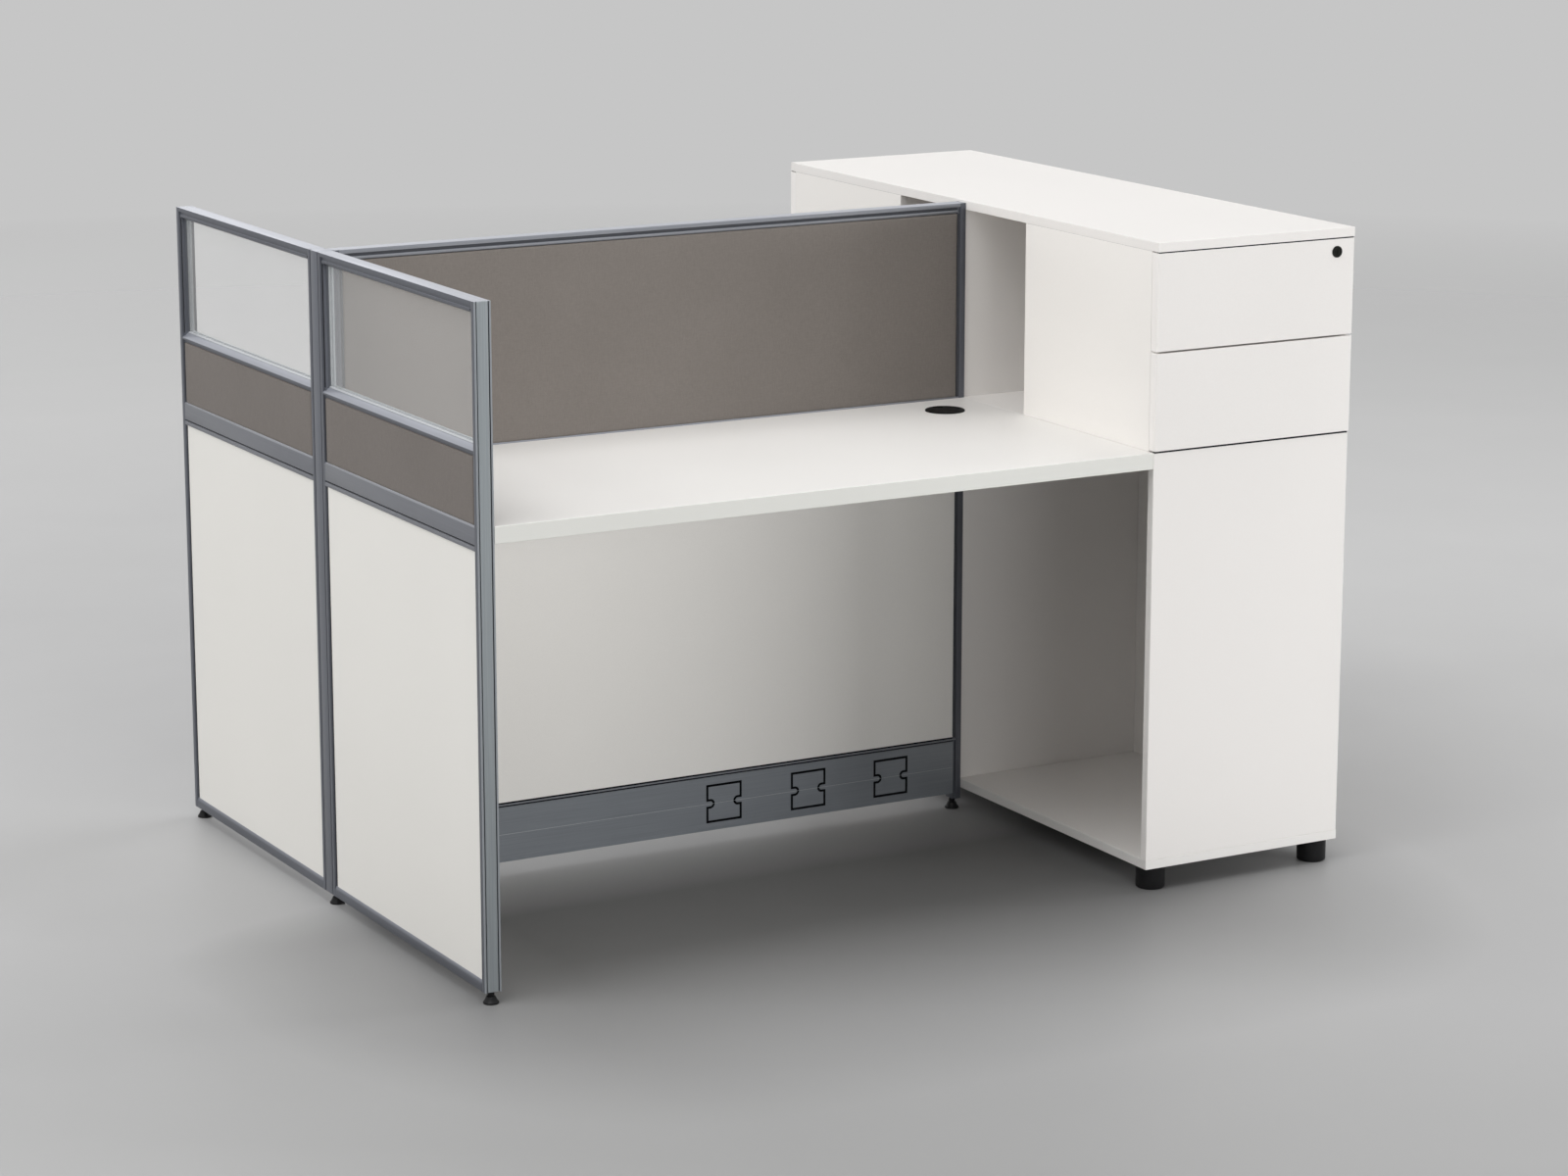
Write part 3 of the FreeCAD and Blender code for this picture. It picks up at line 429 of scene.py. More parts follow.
def slab(shape, low, high):
    """A rectangular solid between two corners in millimetres."""
    (x0, x1), (y0, y1), (z0, z1) = (sorted(value * MM for value in ends)
                                    for ends in zip(low, high))
    ring = [Vector((x0, y0, z0)), Vector((x1, y0, z0)),
            Vector((x1, y1, z0)), Vector((x0, y1, z0))]
    prism(shape, ring, Vector((0, 0, z1 - z0)))


def mesh_from(name, shape):
    bmesh.ops.recalc_face_normals(shape, faces=shape.faces)
    mesh = bpy.data.meshes.new(name)
    shape.to_mesh(mesh)
    shape.free()
    return mesh


def carve(shape, cutter):
    """The mesh of a form with the cutter's form taken out of it."""
    kept = bpy.data.objects.new("kept", mesh_from("kept", shape))
    tool = bpy.data.objects.new("tool", mesh_from("tool", cutter))
    for each in (kept, tool):
        bpy.context.scene.collection.objects.link(each)
    step = kept.modifiers.new("carve", "BOOLEAN")
    step.operation = "DIFFERENCE"
    step.solver = "EXACT"
    step.object = tool
    graph = bpy.context.evaluated_depsgraph_get()
    result = bpy.data.meshes.new_from_object(kept.evaluated_get(graph))
    for each in (kept, tool):
        bpy.data.objects.remove(each)
    return result


def place(name, form, finish, body="root", replaced=(), ease=0.0, angle=32):
    """Puts a form in the scene as a piece on a body, with soft shading and eased edges."""
    mesh = form if isinstance(form, bpy.types.Mesh) else mesh_from(name, form)
    piece = bpy.data.objects.new(name, mesh)
    bpy.context.scene.collection.objects.link(piece)
    mesh.materials.clear()
    mesh.materials.append(finish)
    mesh.shade_smooth()
    if ease:
        step = piece.modifiers.new("ease", "BEVEL")
        step.width = ease * MM
        step.segments = 2
        step.limit_method = "ANGLE"
        step.angle_limit = math.radians(ARRIS)
        step.harden_normals = False
    mesh.set_sharp_from_angle(angle=math.radians(angle))
    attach(piece, body)
    if replaced:
        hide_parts(*replaced)


def islands(mesh):
    """Low and high corners of each separate form in a mesh."""
    shape = bmesh.new()
    shape.from_mesh(mesh)
    bmesh.ops.remove_doubles(shape, verts=shape.verts, dist=0.001 * MM)
    shape.verts.index_update()
    taken = set()
    found = []
    for first in shape.verts:
        if first.index in taken:
            continue
        taken.add(first.index)
        wave = [first]
        points = []
        while wave:
            vert = wave.pop()
            points.append(vert.co.copy())
            for edge in vert.link_edges:
                other = edge.other_vert(vert)
                if other.index not in taken:
                    taken.add(other.index)
                    wave.append(other)
        found.append((Vector([min(p[i] for p in points) for i in range(3)]),
                      Vector([max(p[i] for p in points) for i in range(3)])))
    shape.free()
    return found


def profiled(names, finish, ease=0.35, shortest=15.0, body="root"):
    """The extrusions and folded sheets again, with their long arrises rounded as drawn metal is."""
    for name in names:
        shape = bmesh.new()
        shape.from_mesh(nodes[name].data)
        bmesh.ops.remove_doubles(shape, verts=shape.verts, dist=0.002 * MM)
        bmesh.ops.dissolve_limit(shape, angle_limit=math.radians(0.5), verts=shape.verts,
                                 edges=shape.edges)
        arrises = [edge for edge in shape.edges
                   if len(edge.link_faces) == 2 and edge.calc_length() > shortest * MM
                   and math.degrees(edge.calc_face_angle(0.0)) > ARRIS]
        bmesh.ops.bevel(shape, geom=arrises, offset=ease * MM, segments=2, profile=0.5,
                        affect="EDGES", clamp_overlap=False)
        place(name + "_profile", shape, finish, body, (name,))


# ---------------------------------------------------------------- feet, grommet and locks

GLIDES = ((SIDE_X, -601.5), (SIDE_X, 0.0), (SIDE_X, 601.5), (406.0, 0.0))
LEGS = [(x, side * 581.0) for x in (445.5, 780.5) for side in SIDES]
GROMMET = Vector((317.5, -110.0, DESK_TOP)) * MM
LOCK_X, LOCK_Z = 774.2, 1064.5


def glides():
    """Levelling glides: a domed foot, a nut and a threaded stud."""
    foot = ((0, 0), (11.6, 0), (12.4, 0.4), (12.6, 1.2), (12.6, 2.4), (12.2, 3.2), (11.2, 4.3),
            (10.0, 6.0), (8.9, 8.2), (8.1, 10.2), (7.5, 11.4), (6.4, 12.2), (4.8, 12.6), (0, 12.6))
    nut = ((0, 12.7), (5.2, 12.7), (5.9, 13.2), (5.9, 16.8), (5.2, 17.3), (0, 17.3))
    stud = [(0, 17.3)]
    threads, first, pitch, root, ridge = 12, 17.4, 2.6, 3.4, 4.0
    for i in range(threads):
        z = first + i * pitch
        stud += [(root, z), (ridge, z + 0.8), (ridge, z + 1.5), (root, z + 2.2)]
    stud.append((0, 49.5))
    shape = bmesh.new()
    for x, y in GLIDES:
        centre = (x * MM, y * MM, 0)
        turned(shape, foot, centre)
        turned(shape, nut, centre, steps=6, turn=0.3)
        turned(shape, stud, centre, steps=24)
    place("levelling_glides", shape, plastic_finish, replaced=("screen_feet",))


def legs():
    """Round feet of the tower: a cup with a seam line, and its stud."""
    cup = ((0, 0), (21.6, 0), (22.4, 0.4), (22.6, 1.2), (23.4, 1.4), (24.5, 2.0), (25.0, 3.2),
           (25.0, 33.6), (24.7, 34.0), (24.7, 34.6), (25.0, 35.0), (25.0, 39.2), (24.5, 39.9),
           (0, 39.9))
    stud = ((0, 39.9), (4.0, 39.9), (4.0, 51.4), (3.5, 52.0), (0, 52.0))
    shape = bmesh.new()
    for x, y in LEGS:
        turned(shape, cup, (x * MM, y * MM, 0), steps=72)
        turned(shape, stud, (x * MM, y * MM, 0), steps=24)
    place("tower_leg_cups", shape, plastic_finish, replaced=("tower_feet",))


def grommet():
    """A flanged sleeve, and a lid with a rolled edge and a rounded cable notch."""
    sleeve = ((27.5, -20), (29.4, -20), (29.8, -19.4), (29.8, 0), (34.6, 0), (34.6, 0.9),
              (34.35, 1.7), (33.7, 2.3), (32.9, 2.5), (32.0, 2.5), (31.7, 2.3), (31.6, 2.0),
              (31.6, 0.5), (27.5, 0.5))
    shape = bmesh.new()
    turned(shape, sleeve, GROMMET, steps=96, closed=True)
    place("grommet_ring", shape, grommet_finish, replaced=("grommet_sleeve",))

    lid = ((0, 0.6), (25.2, 0.6), (25.2, -6.4), (27.2, -6.4), (27.2, 0.6), (31.0, 0.6),
           (31.3, 0.9), (31.3, 2.1), (31.0, 2.4), (30.6, 2.5), (25.6, 2.5), (25.3, 2.25),
           (24.5, 2.25), (24.2, 2.5), (0, 2.5))
    shape = bmesh.new()
    turned(shape, lid, GROMMET, steps=96)
    half, deep, mouth, soft, below, tall = 9, 20.8, 34, 3.5, 12, 20
    notch = [(-half, mouth), (-half, deep)]
    notch += [(-half + soft * (1 - math.cos(a)), deep - soft * math.sin(a))
              for a in (0.4, 0.8, 1.2, 1.5708)]
    notch += [(-x, y) for x, y in reversed(notch)]
    cutter = bmesh.new()
    prism(cutter, [GROMMET + Vector((x, y, -below)) * MM for x, y in notch],
          Vector((0, 0, tall * MM)))
    place("grommet_lid", carve(shape, cutter), grommet_finish, "grommet_cap",
          ("grommet_cap",))


def lock(user, side):
    """Cylinder lock with a stepped face, keyway, cam and cam pin."""
    key_half, key_reach, key_floor, cam_arm = 0.8, 4, 0.4, 8
    centre = Vector((LOCK_X, side * TOWER_FRONT, LOCK_Z)) * MM
    out = (0, side, 0)
    body = ((0, -21), (8, -21), (8, 0), (9.8, 0), (9.8, 1.1), (9.6, 1.6), (9.1, 1.92), (8.5, 2.0),
            (7.3, 2.0), (6.9, 1.8), (6.6, 1.3), (6.3, 1.3), (6.0, 1.55), (5.6, 1.7), (0, 1.7))
    cam = ((0, -23), (10.6, -23), (11, -22.6), (11, -21.4), (10.6, -21), (0, -21))
    pin = ((0, -29), (1.6, -29), (2, -28.6), (2, -23), (0, -23))
    shape = bmesh.new()
    turned(shape, body, centre, out, 64)
    cutter = bmesh.new()
    slab(cutter, (LOCK_X - key_half, side * (TOWER_FRONT + key_floor), LOCK_Z - key_reach),
         (LOCK_X + key_half, side * (TOWER_FRONT + key_reach), LOCK_Z + key_reach))
    cut = carve(shape, cutter)
    shape = bmesh.new()
    shape.from_mesh(cut)
    turned(shape, cam, centre, out, 48)
    reach = cam_arm / math.sqrt(2) * MM
    turned(shape, pin, centre + Vector((reach, 0, -reach)), out, 24)
    place(user + "_lock_unit", shape, lock_finish, user + "_lock",
          (user + "_lock",))


# ---------------------------------------------------------------- screens

# Grooves that the dark painted shade strips fill, as ranges in millimetres, each a little inside
# its groove
POST_GAP = (14.1, 16.3)
POST_GAP_X = (-782.4, -780.2)
INNER_GROOVE = (25.6, 29.9)
END_GROOVE = (595.1, 599.4)
SIDE_SPAN = (30.1, 594.9)
SIDE_BAYS = ((38.2, 717.6), (757.2, 863.8), (880.4, 1081.8))
BACK_GROOVES = ((-770.9, -766.6), (399.6, 403.9))
BACK_SPAN = (-766.3, 399.3)
BACK_BAYS = ((135.2, 717.6), (757.2, 1081.8))
WAIST_GROOVE = (724.1, 726.9)
TOP_GROOVE = (1088.1, 1093.3)
RACEWAY_RAIL_GROOVE = (132.1, 134.9)
COVER_GAP = (127.6, 129.9)
TRIM_SLOT = (608.05, 608.5)
BACK_TRIM_SLOT = (412.05, 412.5)
TRIM_LIP = (9.4, 10.9)
UPRIGHT_SPAN = (36.0, 1089.0)
TRIM_SPAN = (21.0, 1099.5)

# Depths from a screen's middle: the grooves' floor, the face of the thin dark shade strips over it,
# the face of the grey shade strips
CORE, SKIN, GREY_SHADE_FACE = 10.5, 10.8, 12.9

# Outer edges of the fabric tiles, and the ends of the pale painted highlight strip between the
# raceway covers
BACK_TILE_ENDS = (-766.2, 399.2)
SIDE_TILE_TOP, BACK_TILE_TOP = 863.7, 1081.7
COVER_ENDS = (-766.0, 399.0)


def knockouts():
    """Black outlines in the grooves of the raceway covers, as painted shade for the dark cuts round
    the knockouts.
    """
    half_width, half_height, bite, bite_x = 34.5, 34.0, 5.0, 27.0
    count, first, pitch = 3, TOWER_LEFT - 146.8, 168.9
    section = ((2.95, 13.2), (0.05, 13.2), (0.05, 14.0), (-0.6, 14.02), (-0.55, 14.1),
               (3.55, 14.1), (3.6, 14.02), (2.95, 14.0))

    def outline(shrink):
        w, h, r = half_width - shrink, half_height - shrink, bite + shrink
        sweep = [math.pi * i / 14 for i in range(15)]
        right = [(w, h), (w, r)]
        right += [(bite_x - r * math.sin(t), r * math.cos(t)) for t in sweep]
        right += [(w, -r), (w, -h)]
        return right + [(-x, -z) for x, z in right]

    shape = bmesh.new()
    for side in SIDES:
        for i in range(count):
            middle = Vector((first - i * pitch, 0, COVER_LINE))
            rows = [[shape.verts.new((middle + Vector((x, side * depth, z))) * MM)
                     for x, z in outline(shrink)] for shrink, depth in section]
            loft(shape, rows, closed=True)
    place("knockout_shade_lines", shape, knockout_shade_finish)


def wrapped_tile(shape, normal, level, back, low, high):
    """A board wrapped in cloth, slightly crowned, whose outer face looks along the normal axis."""
    side = 1 if level > back else -1
    crown = ((0.0, 2.6), (0.12, 1.7), (0.5, 1.0), (1.3, 0.5), (3.5, 0.25), (8.0, 0.1), (20.0, 0.0))
    rows = [(0.3, back), (0.0, back + side * 1.0)]
    rows += [(inset, level - side * drop) for inset, drop in crown]
    rings = []
    for inset, depth in rows:
        soft = min(1.2 + inset * 0.4, 6.0)
        a0, b0 = low[0] + inset + soft, low[1] + inset + soft
        a1, b1 = high[0] - inset - soft, high[1] - inset - soft
        ring = []
        for start, (ca, cb) in enumerate(((a1, b1), (a0, b1), (a0, b0), (a1, b0))):
            for k in range(4):
                t = (start + k / 3) * math.pi / 2
                a, b = ca + soft * math.cos(t), cb + soft * math.sin(t)
                spot = (depth, a, b) if normal == 0 else (a, depth, b)
                ring.append(shape.verts.new([value * MM for value in spot]))
        rings.append(ring)
    loft(shape, rings)
    shape.faces.new(rings[0])
    shape.faces.new(rings[-1])


def tiles():
    """Fabric tiles over their boards, on both faces of each screen."""
    face, back, clear = 12.9, 4.5, 0.3
    shape = bmesh.new()
    for side in SIDES:
        for y0, y1 in ((-STILE_OUTER + clear, -STILE_INNER - clear),
                       (STILE_INNER + clear, STILE_OUTER - clear)):
            wrapped_tile(shape, 0, SIDE_X + side * face, SIDE_X + side * back,
                         (y0, TILE_LOW), (y1, SIDE_TILE_TOP))
    place("side_tile_wraps", shape, side_cloth_finish,
          replaced=("side_fabric_tiles",), angle=70)
    shape = bmesh.new()
    for side in SIDES:
        wrapped_tile(shape, 1, side * face, side * back,
                     (BACK_TILE_ENDS[0], TILE_LOW), (BACK_TILE_ENDS[1], BACK_TILE_TOP))
    place("back_tile_wraps", shape, back_cloth_lit_finish,
          replaced=("back_fabric_tiles",), angle=70)


def glazing():
    """Wedge beads outside each pane, and a soft gasket round its edge and inner face."""
    bead = ((0.0, 5.4), (0.5, 5.4), (2.6, 3.2), (2.6, 2.55), (0.0, 2.55))
    rubber = ((0.0, 2.5), (1.95, 2.5), (1.95, -2.55), (3.6, -2.55), (3.9, -2.9), (3.9, -5.2),
              (3.3, -5.9), (0.0, -5.9))
    for name, profile, finish, slot, replaced in (
            ("glazing_beads", bead, bead_finish, "frame_metal", ()),
            ("glazing_gaskets", rubber, gasket_finish, "gasket", ("glass_gaskets",))):
        shape = bmesh.new()
        for end in SIDES:
            rows = []
            for inset, out in profile:
                y0, y1 = end * (STILE_INNER + inset), end * (STILE_OUTER - inset)
                z0, z1 = GLASS_LOW + inset, GLASS_HIGH - inset
                rows.append([shape.verts.new(((SIDE_X - out) * MM, y * MM, z * MM))
                             for y, z in ((y0, z0), (y1, z0), (y1, z1), (y0, z1))])
            loft(shape, rows, closed=True)
        place(name, shape, finish, replaced=replaced, angle=25)


def shade_strips():
    """Dark strips and paler grey strips in the grooves of the frame, on both faces, as painted
    shade that darkens the grooves.
    """
    shape, grey_shades = bmesh.new(), bmesh.new()

    def fill(form, *ranges):
        slab(form, *zip(*ranges))

    def both(side, start, stop, middle=0.0):
        return middle + side * start, middle + side * stop

    for side in SIDES:
        skin_x = both(side, CORE, SKIN, SIDE_X)
        skin_y = both(side, CORE, SKIN)
        lip_x = both(side, *TRIM_LIP, SIDE_X)
        for end in SIDES:
            fill(shape, skin_x, both(end, *POST_GAP), UPRIGHT_SPAN)
            for groove in (INNER_GROOVE, END_GROOVE):
                for bay in SIDE_BAYS:
                    fill(shape, skin_x, both(end, *groove), bay)
            fill(shape, skin_x, both(end, *SIDE_SPAN), WAIST_GROOVE)
        for form, groove, depth in ((shape, WAIST_GROOVE, SKIN), (grey_shades, TOP_GROOVE, 11.6),
                                    (shape, RACEWAY_RAIL_GROOVE, 11.2), (shape, COVER_GAP, 13.2)):
            fill(form, BACK_SPAN, both(side, CORE, depth), groove)
        for bay in BACK_BAYS:
            for groove in BACK_GROOVES:
                fill(grey_shades, groove, both(side, CORE, GREY_SHADE_FACE), bay)
        fill(shape, POST_GAP_X, skin_y, UPRIGHT_SPAN)
        for end in SIDES:
            fill(shape, lip_x, both(end, *TRIM_SLOT), TRIM_SPAN)
        fill(shape, BACK_TRIM_SLOT, both(side, *TRIM_LIP), TRIM_SPAN)
    place("groove_shade_strips", shape, shade_strip_finish)
    place("stile_grey_shades", grey_shades, grey_shade_finish)


def cover_seam_highlights():
    """A rolled strip between the upper and lower raceway covers, pale as a painted highlight along
    the joint.
    """
    start, stop = COVER_ENDS
    profile = ((12.6, -0.28), (14.0, -0.28), (14.12, -0.16), (14.16, 0.0), (14.12, 0.16),
               (14.0, 0.28), (12.6, 0.28))
    shape = bmesh.new()
    for side in SIDES:
        ring = [Vector((start, side * y, COVER_LINE + z)) * MM for y, z in profile]
        prism(shape, ring, Vector(((stop - start) * MM, 0, 0)))
    place("cover_seam_highlights", shape, seam_highlight_finish)


# ---------------------------------------------------------------- tower

def seam_shade_strips(user, side):
    """Dark strips in the seams above the upper drawer and above the panel below the drawers, as
    painted shade in the seams.
    """
    inset, front, back, let_in = 1.5, 0.1, 6.0, 0.4
    for part, body, tall in (("upper_" + user + "_drawer_front", "upper_" + user + "_drawer", 1.4),
                             (user + "_lower_panel", "root", 1.8)):
        low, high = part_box(part)
        low, high = Vector(low) / MM, Vector(high) / MM
        face = low.y if side < 0 else high.y
        shape = bmesh.new()
        slab(shape, (low.x + inset, face - side * front, high.z - let_in),
             (high.x - inset, face - side * back, high.z + tall))
        place(part + "_seam_shade_strip", shape, shade_strip_finish, body)


def board_joint_shades():
    """A greyish line in the grooves between the eased edges of the tower's top and its sides, as
    painted shade at the joint.
    """
    near, far, half, end = 0.14, 0.7, 0.35, 0.8
    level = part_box("tower_top")[0][2] / MM
    shape = bmesh.new()
    for part, out in (("drawer_case_panels", -1), ("tower_right_side", 1)):
        for low, high in islands(nodes[part].data):
            low, high = low / MM, high / MM
            face = low.x if out < 0 else high.x
            slab(shape, (face - out * near, low.y + end, level - half),
                 (face - out * far, high.y - end, level + half))
    place("board_joint_shade_lines", shape, joint_shade_finish)


def slide_details(drawer, side):
    """Rivets in the moving member of each runner and a nylon stop at its rear end."""
    tower_middle, web_inset, shortest = 613.0, 1.5, 100.0
    first, pitch = 0.06, 0.2
    half_tall, thick, long = 12, 5.4, 9
    rivet = ((0, 0), (3.6, 0), (3.4, 0.5), (2.5, 1.0), (1.3, 1.25), (0, 1.3))
    rivets, stops = bmesh.new(), bmesh.new()
    for low, high in islands(nodes[drawer + "_slides"].data):
        low, high = low / MM, high / MM
        length = high.y - low.y
        if length < shortest:
            continue
        out = -1 if (low.x + high.x) / 2 < tower_middle else 1
        web = (high.x if out < 0 else low.x) + out * web_inset
        z = (low.z + high.z) / 2
        for i in range(5):
            spot = Vector((web, low.y + length * (first + pitch * i), z)) * MM
            turned(rivets, rivet, spot, (out, 0, 0), 24)
        back = high.y if side < 0 else low.y
        slab(stops, (web, back, z - half_tall),
             (web + out * thick, back + side * long, z + half_tall))
    place(drawer + "_rivets", rivets, steel_finish, drawer)
    place(drawer + "_stops", stops, nylon_finish, drawer, ease=1.2)


def fasteners():
    """Pan head screws with a cross recess under the desk, hexagon bolts and nuts at the post."""
    pan = ((0, 0), (1.6, 0.03), (2.9, 0.22), (3.8, 0.62), (4.35, 1.25), (4.5, 1.9), (4.4, 2.4),
           (4.2, 2.5), (2.2, 2.5), (2.2, 14.2), (0.3, 16.5), (0, 16.5))
    shape = bmesh.new()
    turned(shape, pan, (0, 0, 0), steps=32)
    a, b, below, tall = 0.5, 2.2, 1, 2.5
    cross = ((a, b), (-a, b), (-a, a), (-b, a), (-b, -a), (-a, -a), (-a, -b), (a, -b), (a, -a),
             (b, -a), (b, a), (a, a))
    cutter = bmesh.new()
    prism(cutter, [Vector((x, y, -below)) * MM for x, y in cross], Vector((0, 0, tall * MM)))
    screw = carve(shape, cutter)
    shape = bmesh.new()
    for low, high in islands(nodes["fasteners"].data):
        size, middle = high - low, (low + high) / 2
        if size.z > max(size.x, size.y):
            count = len(shape.verts)
            shape.from_mesh(screw)
            shape.verts.ensure_lookup_table()
            bmesh.ops.translate(shape, verts=shape.verts[count:],
                                vec=(middle.x, middle.y, low.z))
            continue
        axis = Vector((1, 0, 0)) if size.x > size.y else Vector((0, 1, 0))
        half = axis * size.dot(axis) / 2
        start, stop = middle - half, middle + half
        post = Vector((SIDE_X * MM, 0, middle.z))
        if (stop - post).length < (start - post).length:
            start, stop, axis = stop, start, -axis
        end = (stop - start).length / MM
        head = ((0, 0), (3.7, 0), (4.2, 0.5), (4.2, 4.5), (3.7, 5), (0, 5))
        shank = ((0, 5), (3, 5), (3, end - 4), (0, end - 4))
        nut = ((0, end - 4), (4.2, end - 4), (4.2, end - 0.5), (3.7, end), (0, end))
        for profile, steps in ((head, 6), (shank, 24), (nut, 6)):
            turned(shape, profile, start, axis, steps)
    place("screws_and_bolts", shape, steel_finish, replaced=("fasteners",))


profiled(STILES, stile_shaded_finish)
profiled(("middle_post",), post_shaded_finish)
profiled(SIDE_RAILS, rail_y_shaded_finish)
profiled(("side_waist_rails",), waist_shaded_finish)
profiled(BACK_RAILS, rail_x_finish)
profiled(("end_trims",), trim_finish, 0.8)
profiled(("desk_brackets", "fixed_runners"), steel_finish, 0.4)
fasteners()
for user, side in USERS.items():
    profiled((user + "_lock_bar",), steel_finish, 0.3, 5.0, user + "_lock_bar")
    seam_shade_strips(user, side)
    for drawer in ("lower_" + user + "_drawer", "upper_" + user + "_drawer"):
        profiled((drawer + "_slides",), steel_finish, 0.4, body=drawer)
        slide_details(drawer, side)
glazing()
shade_strips()
board_joint_shades()
cover_seam_highlights()
glides()
legs()
grommet()
for user, side in USERS.items():
    lock(user, side)
knockouts()
tiles()


# ---------------------------------------------------------------- studio

def grey(level):
    return tone(level, level, level)


BACKDROP = grey(198)
WORLD_LEVEL = 0.004
# Floor tones: painted shadow under the desk, painted shade near and in front of the object, painted
# light to the right, and a plain far floor.
FLOOR_UNDER_SHADOW, FLOOR_NEAR_SHADE, FLOOR_CLOUD = grey(108), tone(170, 170, 171), grey(175)
FLOOR_FRONT_SHADE, FLOOR_RIGHT_LIGHT, FLOOR_FAR = grey(151), grey(190), grey(204)
CAMERA_PLACE, CAMERA_LENS = (-3.4067, -6.2210, 2.0666), 95.99
CAMERA_DOWN, CAMERA_RIGHT = math.radians(12.823), math.radians(29.12)
AIM = Vector((0, 0, 0.55))
LOW, MIDDLE, HIGH = (7, 8.0, (4.5, 1.6)), (32, 7.0, (4.0, 4.0)), (60, 7.0, (4.0, 4.0))
WIDE = (15, 9.0, (10.0, 4.0))

# Name, azimuth from the front towards the right, rank, level, and whether gloss mirrors it
LAMPS = (
    ("left_back_low", -120, LOW, 0.11, False),
    ("front_low", 0, LOW, 0.18, False),
    ("front_right_low", 35, LOW, 0.40, False),
    ("back_low", 180, LOW, 0.06, False),
    ("left_side", -90, MIDDLE, 0.445, False),
    ("front_left", -45, MIDDLE, 0.09, True),
    ("right_side", 90, MIDDLE, 0.16, False),
    ("back_side", 180, MIDDLE, 0.11, True),
    ("left_high", -90, HIGH, 0.08, True),
    ("front_left_high", -45, HIGH, 0.30, True),
    ("right_high", 90, HIGH, 0.30, True),
    ("back_high", 180, HIGH, 0.13, True),
    ("back_glow", 151, WIDE, 0.06, True),
)


def lamp(name, azimuth, rank, level, mirrored):
    """A soft box aimed at the desk. Level is the light that it throws on a surface facing it."""
    elevation, distance, size = rank
    data = bpy.data.lights.new(name, "AREA")
    data.shape = "RECTANGLE"
    data.size, data.size_y = size
    data.energy = level * (math.pi * distance) ** 2
    box = bpy.data.objects.new(name, data)
    bpy.context.scene.collection.objects.link(box)
    a, e = math.radians(azimuth), math.radians(elevation)
    back = Vector((math.sin(a) * math.cos(e), -math.cos(a) * math.cos(e), math.sin(e)))
    box.location = AIM + back * distance
    box.visible_camera = False
    box.visible_glossy = mirrored
    box.rotation_mode = "QUATERNION"
    box.rotation_quaternion = (-back).to_track_quat("-Z", "Y")


def backdrop():
    """A dim world that the camera, gloss and glass see as a pale backdrop."""
    world = bpy.data.worlds.new("studio")
    bpy.context.scene.world = world
    world.use_nodes = True
    tree = world.node_tree
    rays = tree.nodes.new("ShaderNodeLightPath").outputs
    seen = rays["Is Camera Ray"]
    for other in ("Is Glossy Ray", "Is Transmission Ray"):
        either = tree.nodes.new("ShaderNodeMath")
        either.operation = "MAXIMUM"
        tree.links.new(seen, either.inputs[0])
        tree.links.new(rays[other], either.inputs[1])
        seen = either.outputs[0]
    colour = tree.nodes.new("ShaderNodeMix")
    colour.data_type = "RGBA"
    tree.links.new(seen, colour.inputs["Factor"])
    colour.inputs[6].default_value = (WORLD_LEVEL, WORLD_LEVEL, WORLD_LEVEL * 1.01, 1)
    colour.inputs[7].default_value = BACKDROP
    tree.links.new(colour.outputs[2], tree.nodes["Background"].inputs["Color"])


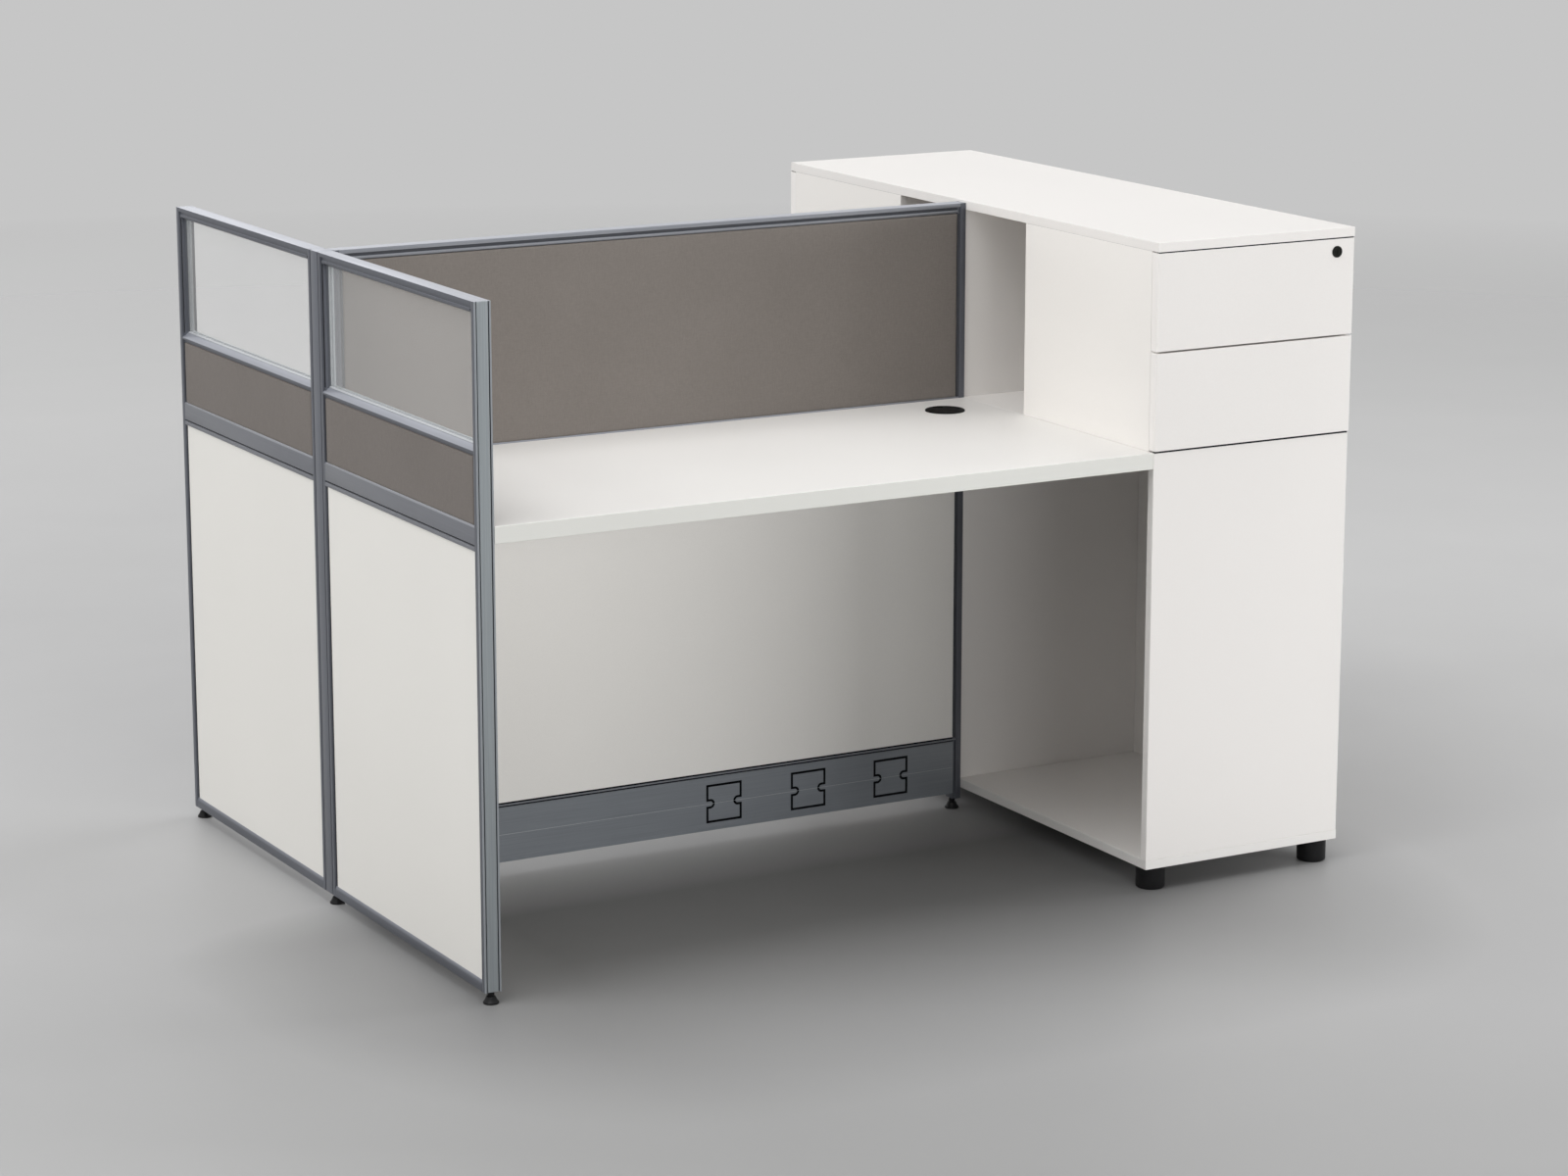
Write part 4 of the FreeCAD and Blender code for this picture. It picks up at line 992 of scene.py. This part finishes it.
def floor_finish():
    """Pale floor with a painted shadow under the desk, painted shade near the object and in front
    of it, and painted light to its right, that fades out far away.
    """
    made = Finish("studio_floor")
    made.shader.inputs["Specular IOR Level"].default_value = 0.2
    x, y, _ = made.split(made.place)

    def length(a, b):
        return made.math("SQRT", made.math("ADD", made.math("MULTIPLY", a, a),
                                           made.math("MULTIPLY", b, b)))

    def above(value):
        return made.math("MAXIMUM", value, 0.0)

    # How far a spot lies outside the painted shadow, to the sides and in front or behind
    sideways = made.math("ABSOLUTE", made.math("ADD", x, 0.1))
    beside = above(made.math("MULTIPLY_ADD", sideways, 1.4, -0.7))
    ahead = made.math("MULTIPLY_ADD", y, -1.0, -0.48)
    behind = made.math("MULTIPLY_ADD", y, 3.5, 0.75)
    apart = length(beside, above(made.math("MAXIMUM", ahead, behind)))
    reach = length(x, y)
    front_shade_reach = made.math("ADD", made.math("MULTIPLY", x, -0.6), made.math("MULTIPLY", y, -0.8))

    colour = made.mix(made.remap(made.noise(1.5, 3.0), 0.0, 1.0), FLOOR_NEAR_SHADE, FLOOR_CLOUD)
    # Painted shade toward the front left, painted light to the right, painted shadow under the
    # desk, and a lighter far floor where the painted shade near the object ends.
    colour = made.mix(made.remap(front_shade_reach, 0.0, 1.0, 0.75, 1.6), colour, FLOOR_FRONT_SHADE)
    colour = made.mix(made.remap(x, 0.0, 1.0, 1.0, 1.9), colour, FLOOR_RIGHT_LIGHT)
    colour = made.mix(made.remap(apart, 0.0, 1.0, 0.0, 0.8), FLOOR_UNDER_SHADOW, colour)
    colour = made.mix(made.remap(reach, 0.0, 1.0, 1.2, 4.5), colour, FLOOR_FAR)
    made.set("Base Color", colour)
    made.set("Roughness", made.remap(made.noise(0.4, 3.0), 0.44, 0.52))

    clear = made.tree.nodes.new("ShaderNodeBsdfTransparent")
    fade = made.tree.nodes.new("ShaderNodeMixShader")
    made.socket(fade, 0, made.remap(reach, 0.0, 1.0, 3.0, 8.5))
    made.socket(fade, 1, made.shader.outputs[0])
    made.socket(fade, 2, clear.outputs[0])
    made.tree.links.new(fade.outputs[0], made.tree.nodes["Material Output"].inputs["Surface"])
    return made.material


def studio():
    scene = bpy.context.scene
    backdrop()
    floor_mesh = bpy.data.meshes.new("floor")
    floor = bpy.data.objects.new("floor", floor_mesh)
    shape = bmesh.new()
    bmesh.ops.create_circle(shape, cap_ends=True, radius=10.0, segments=96)
    shape.to_mesh(floor_mesh)
    shape.free()
    scene.collection.objects.link(floor)
    floor_mesh.materials.append(floor_finish())

    data = bpy.data.cameras.new("camera")
    data.lens = CAMERA_LENS
    data.sensor_width = 36.0
    data.clip_end = 200.0
    camera = bpy.data.objects.new("camera", data)
    scene.collection.objects.link(camera)
    camera.location = CAMERA_PLACE
    camera.rotation_euler = (math.pi / 2 - CAMERA_DOWN, 0.0, -CAMERA_RIGHT)
    scene.camera = camera
    scene.view_settings.view_transform = "Standard"


for row in LAMPS:
    lamp(*row)
studio()
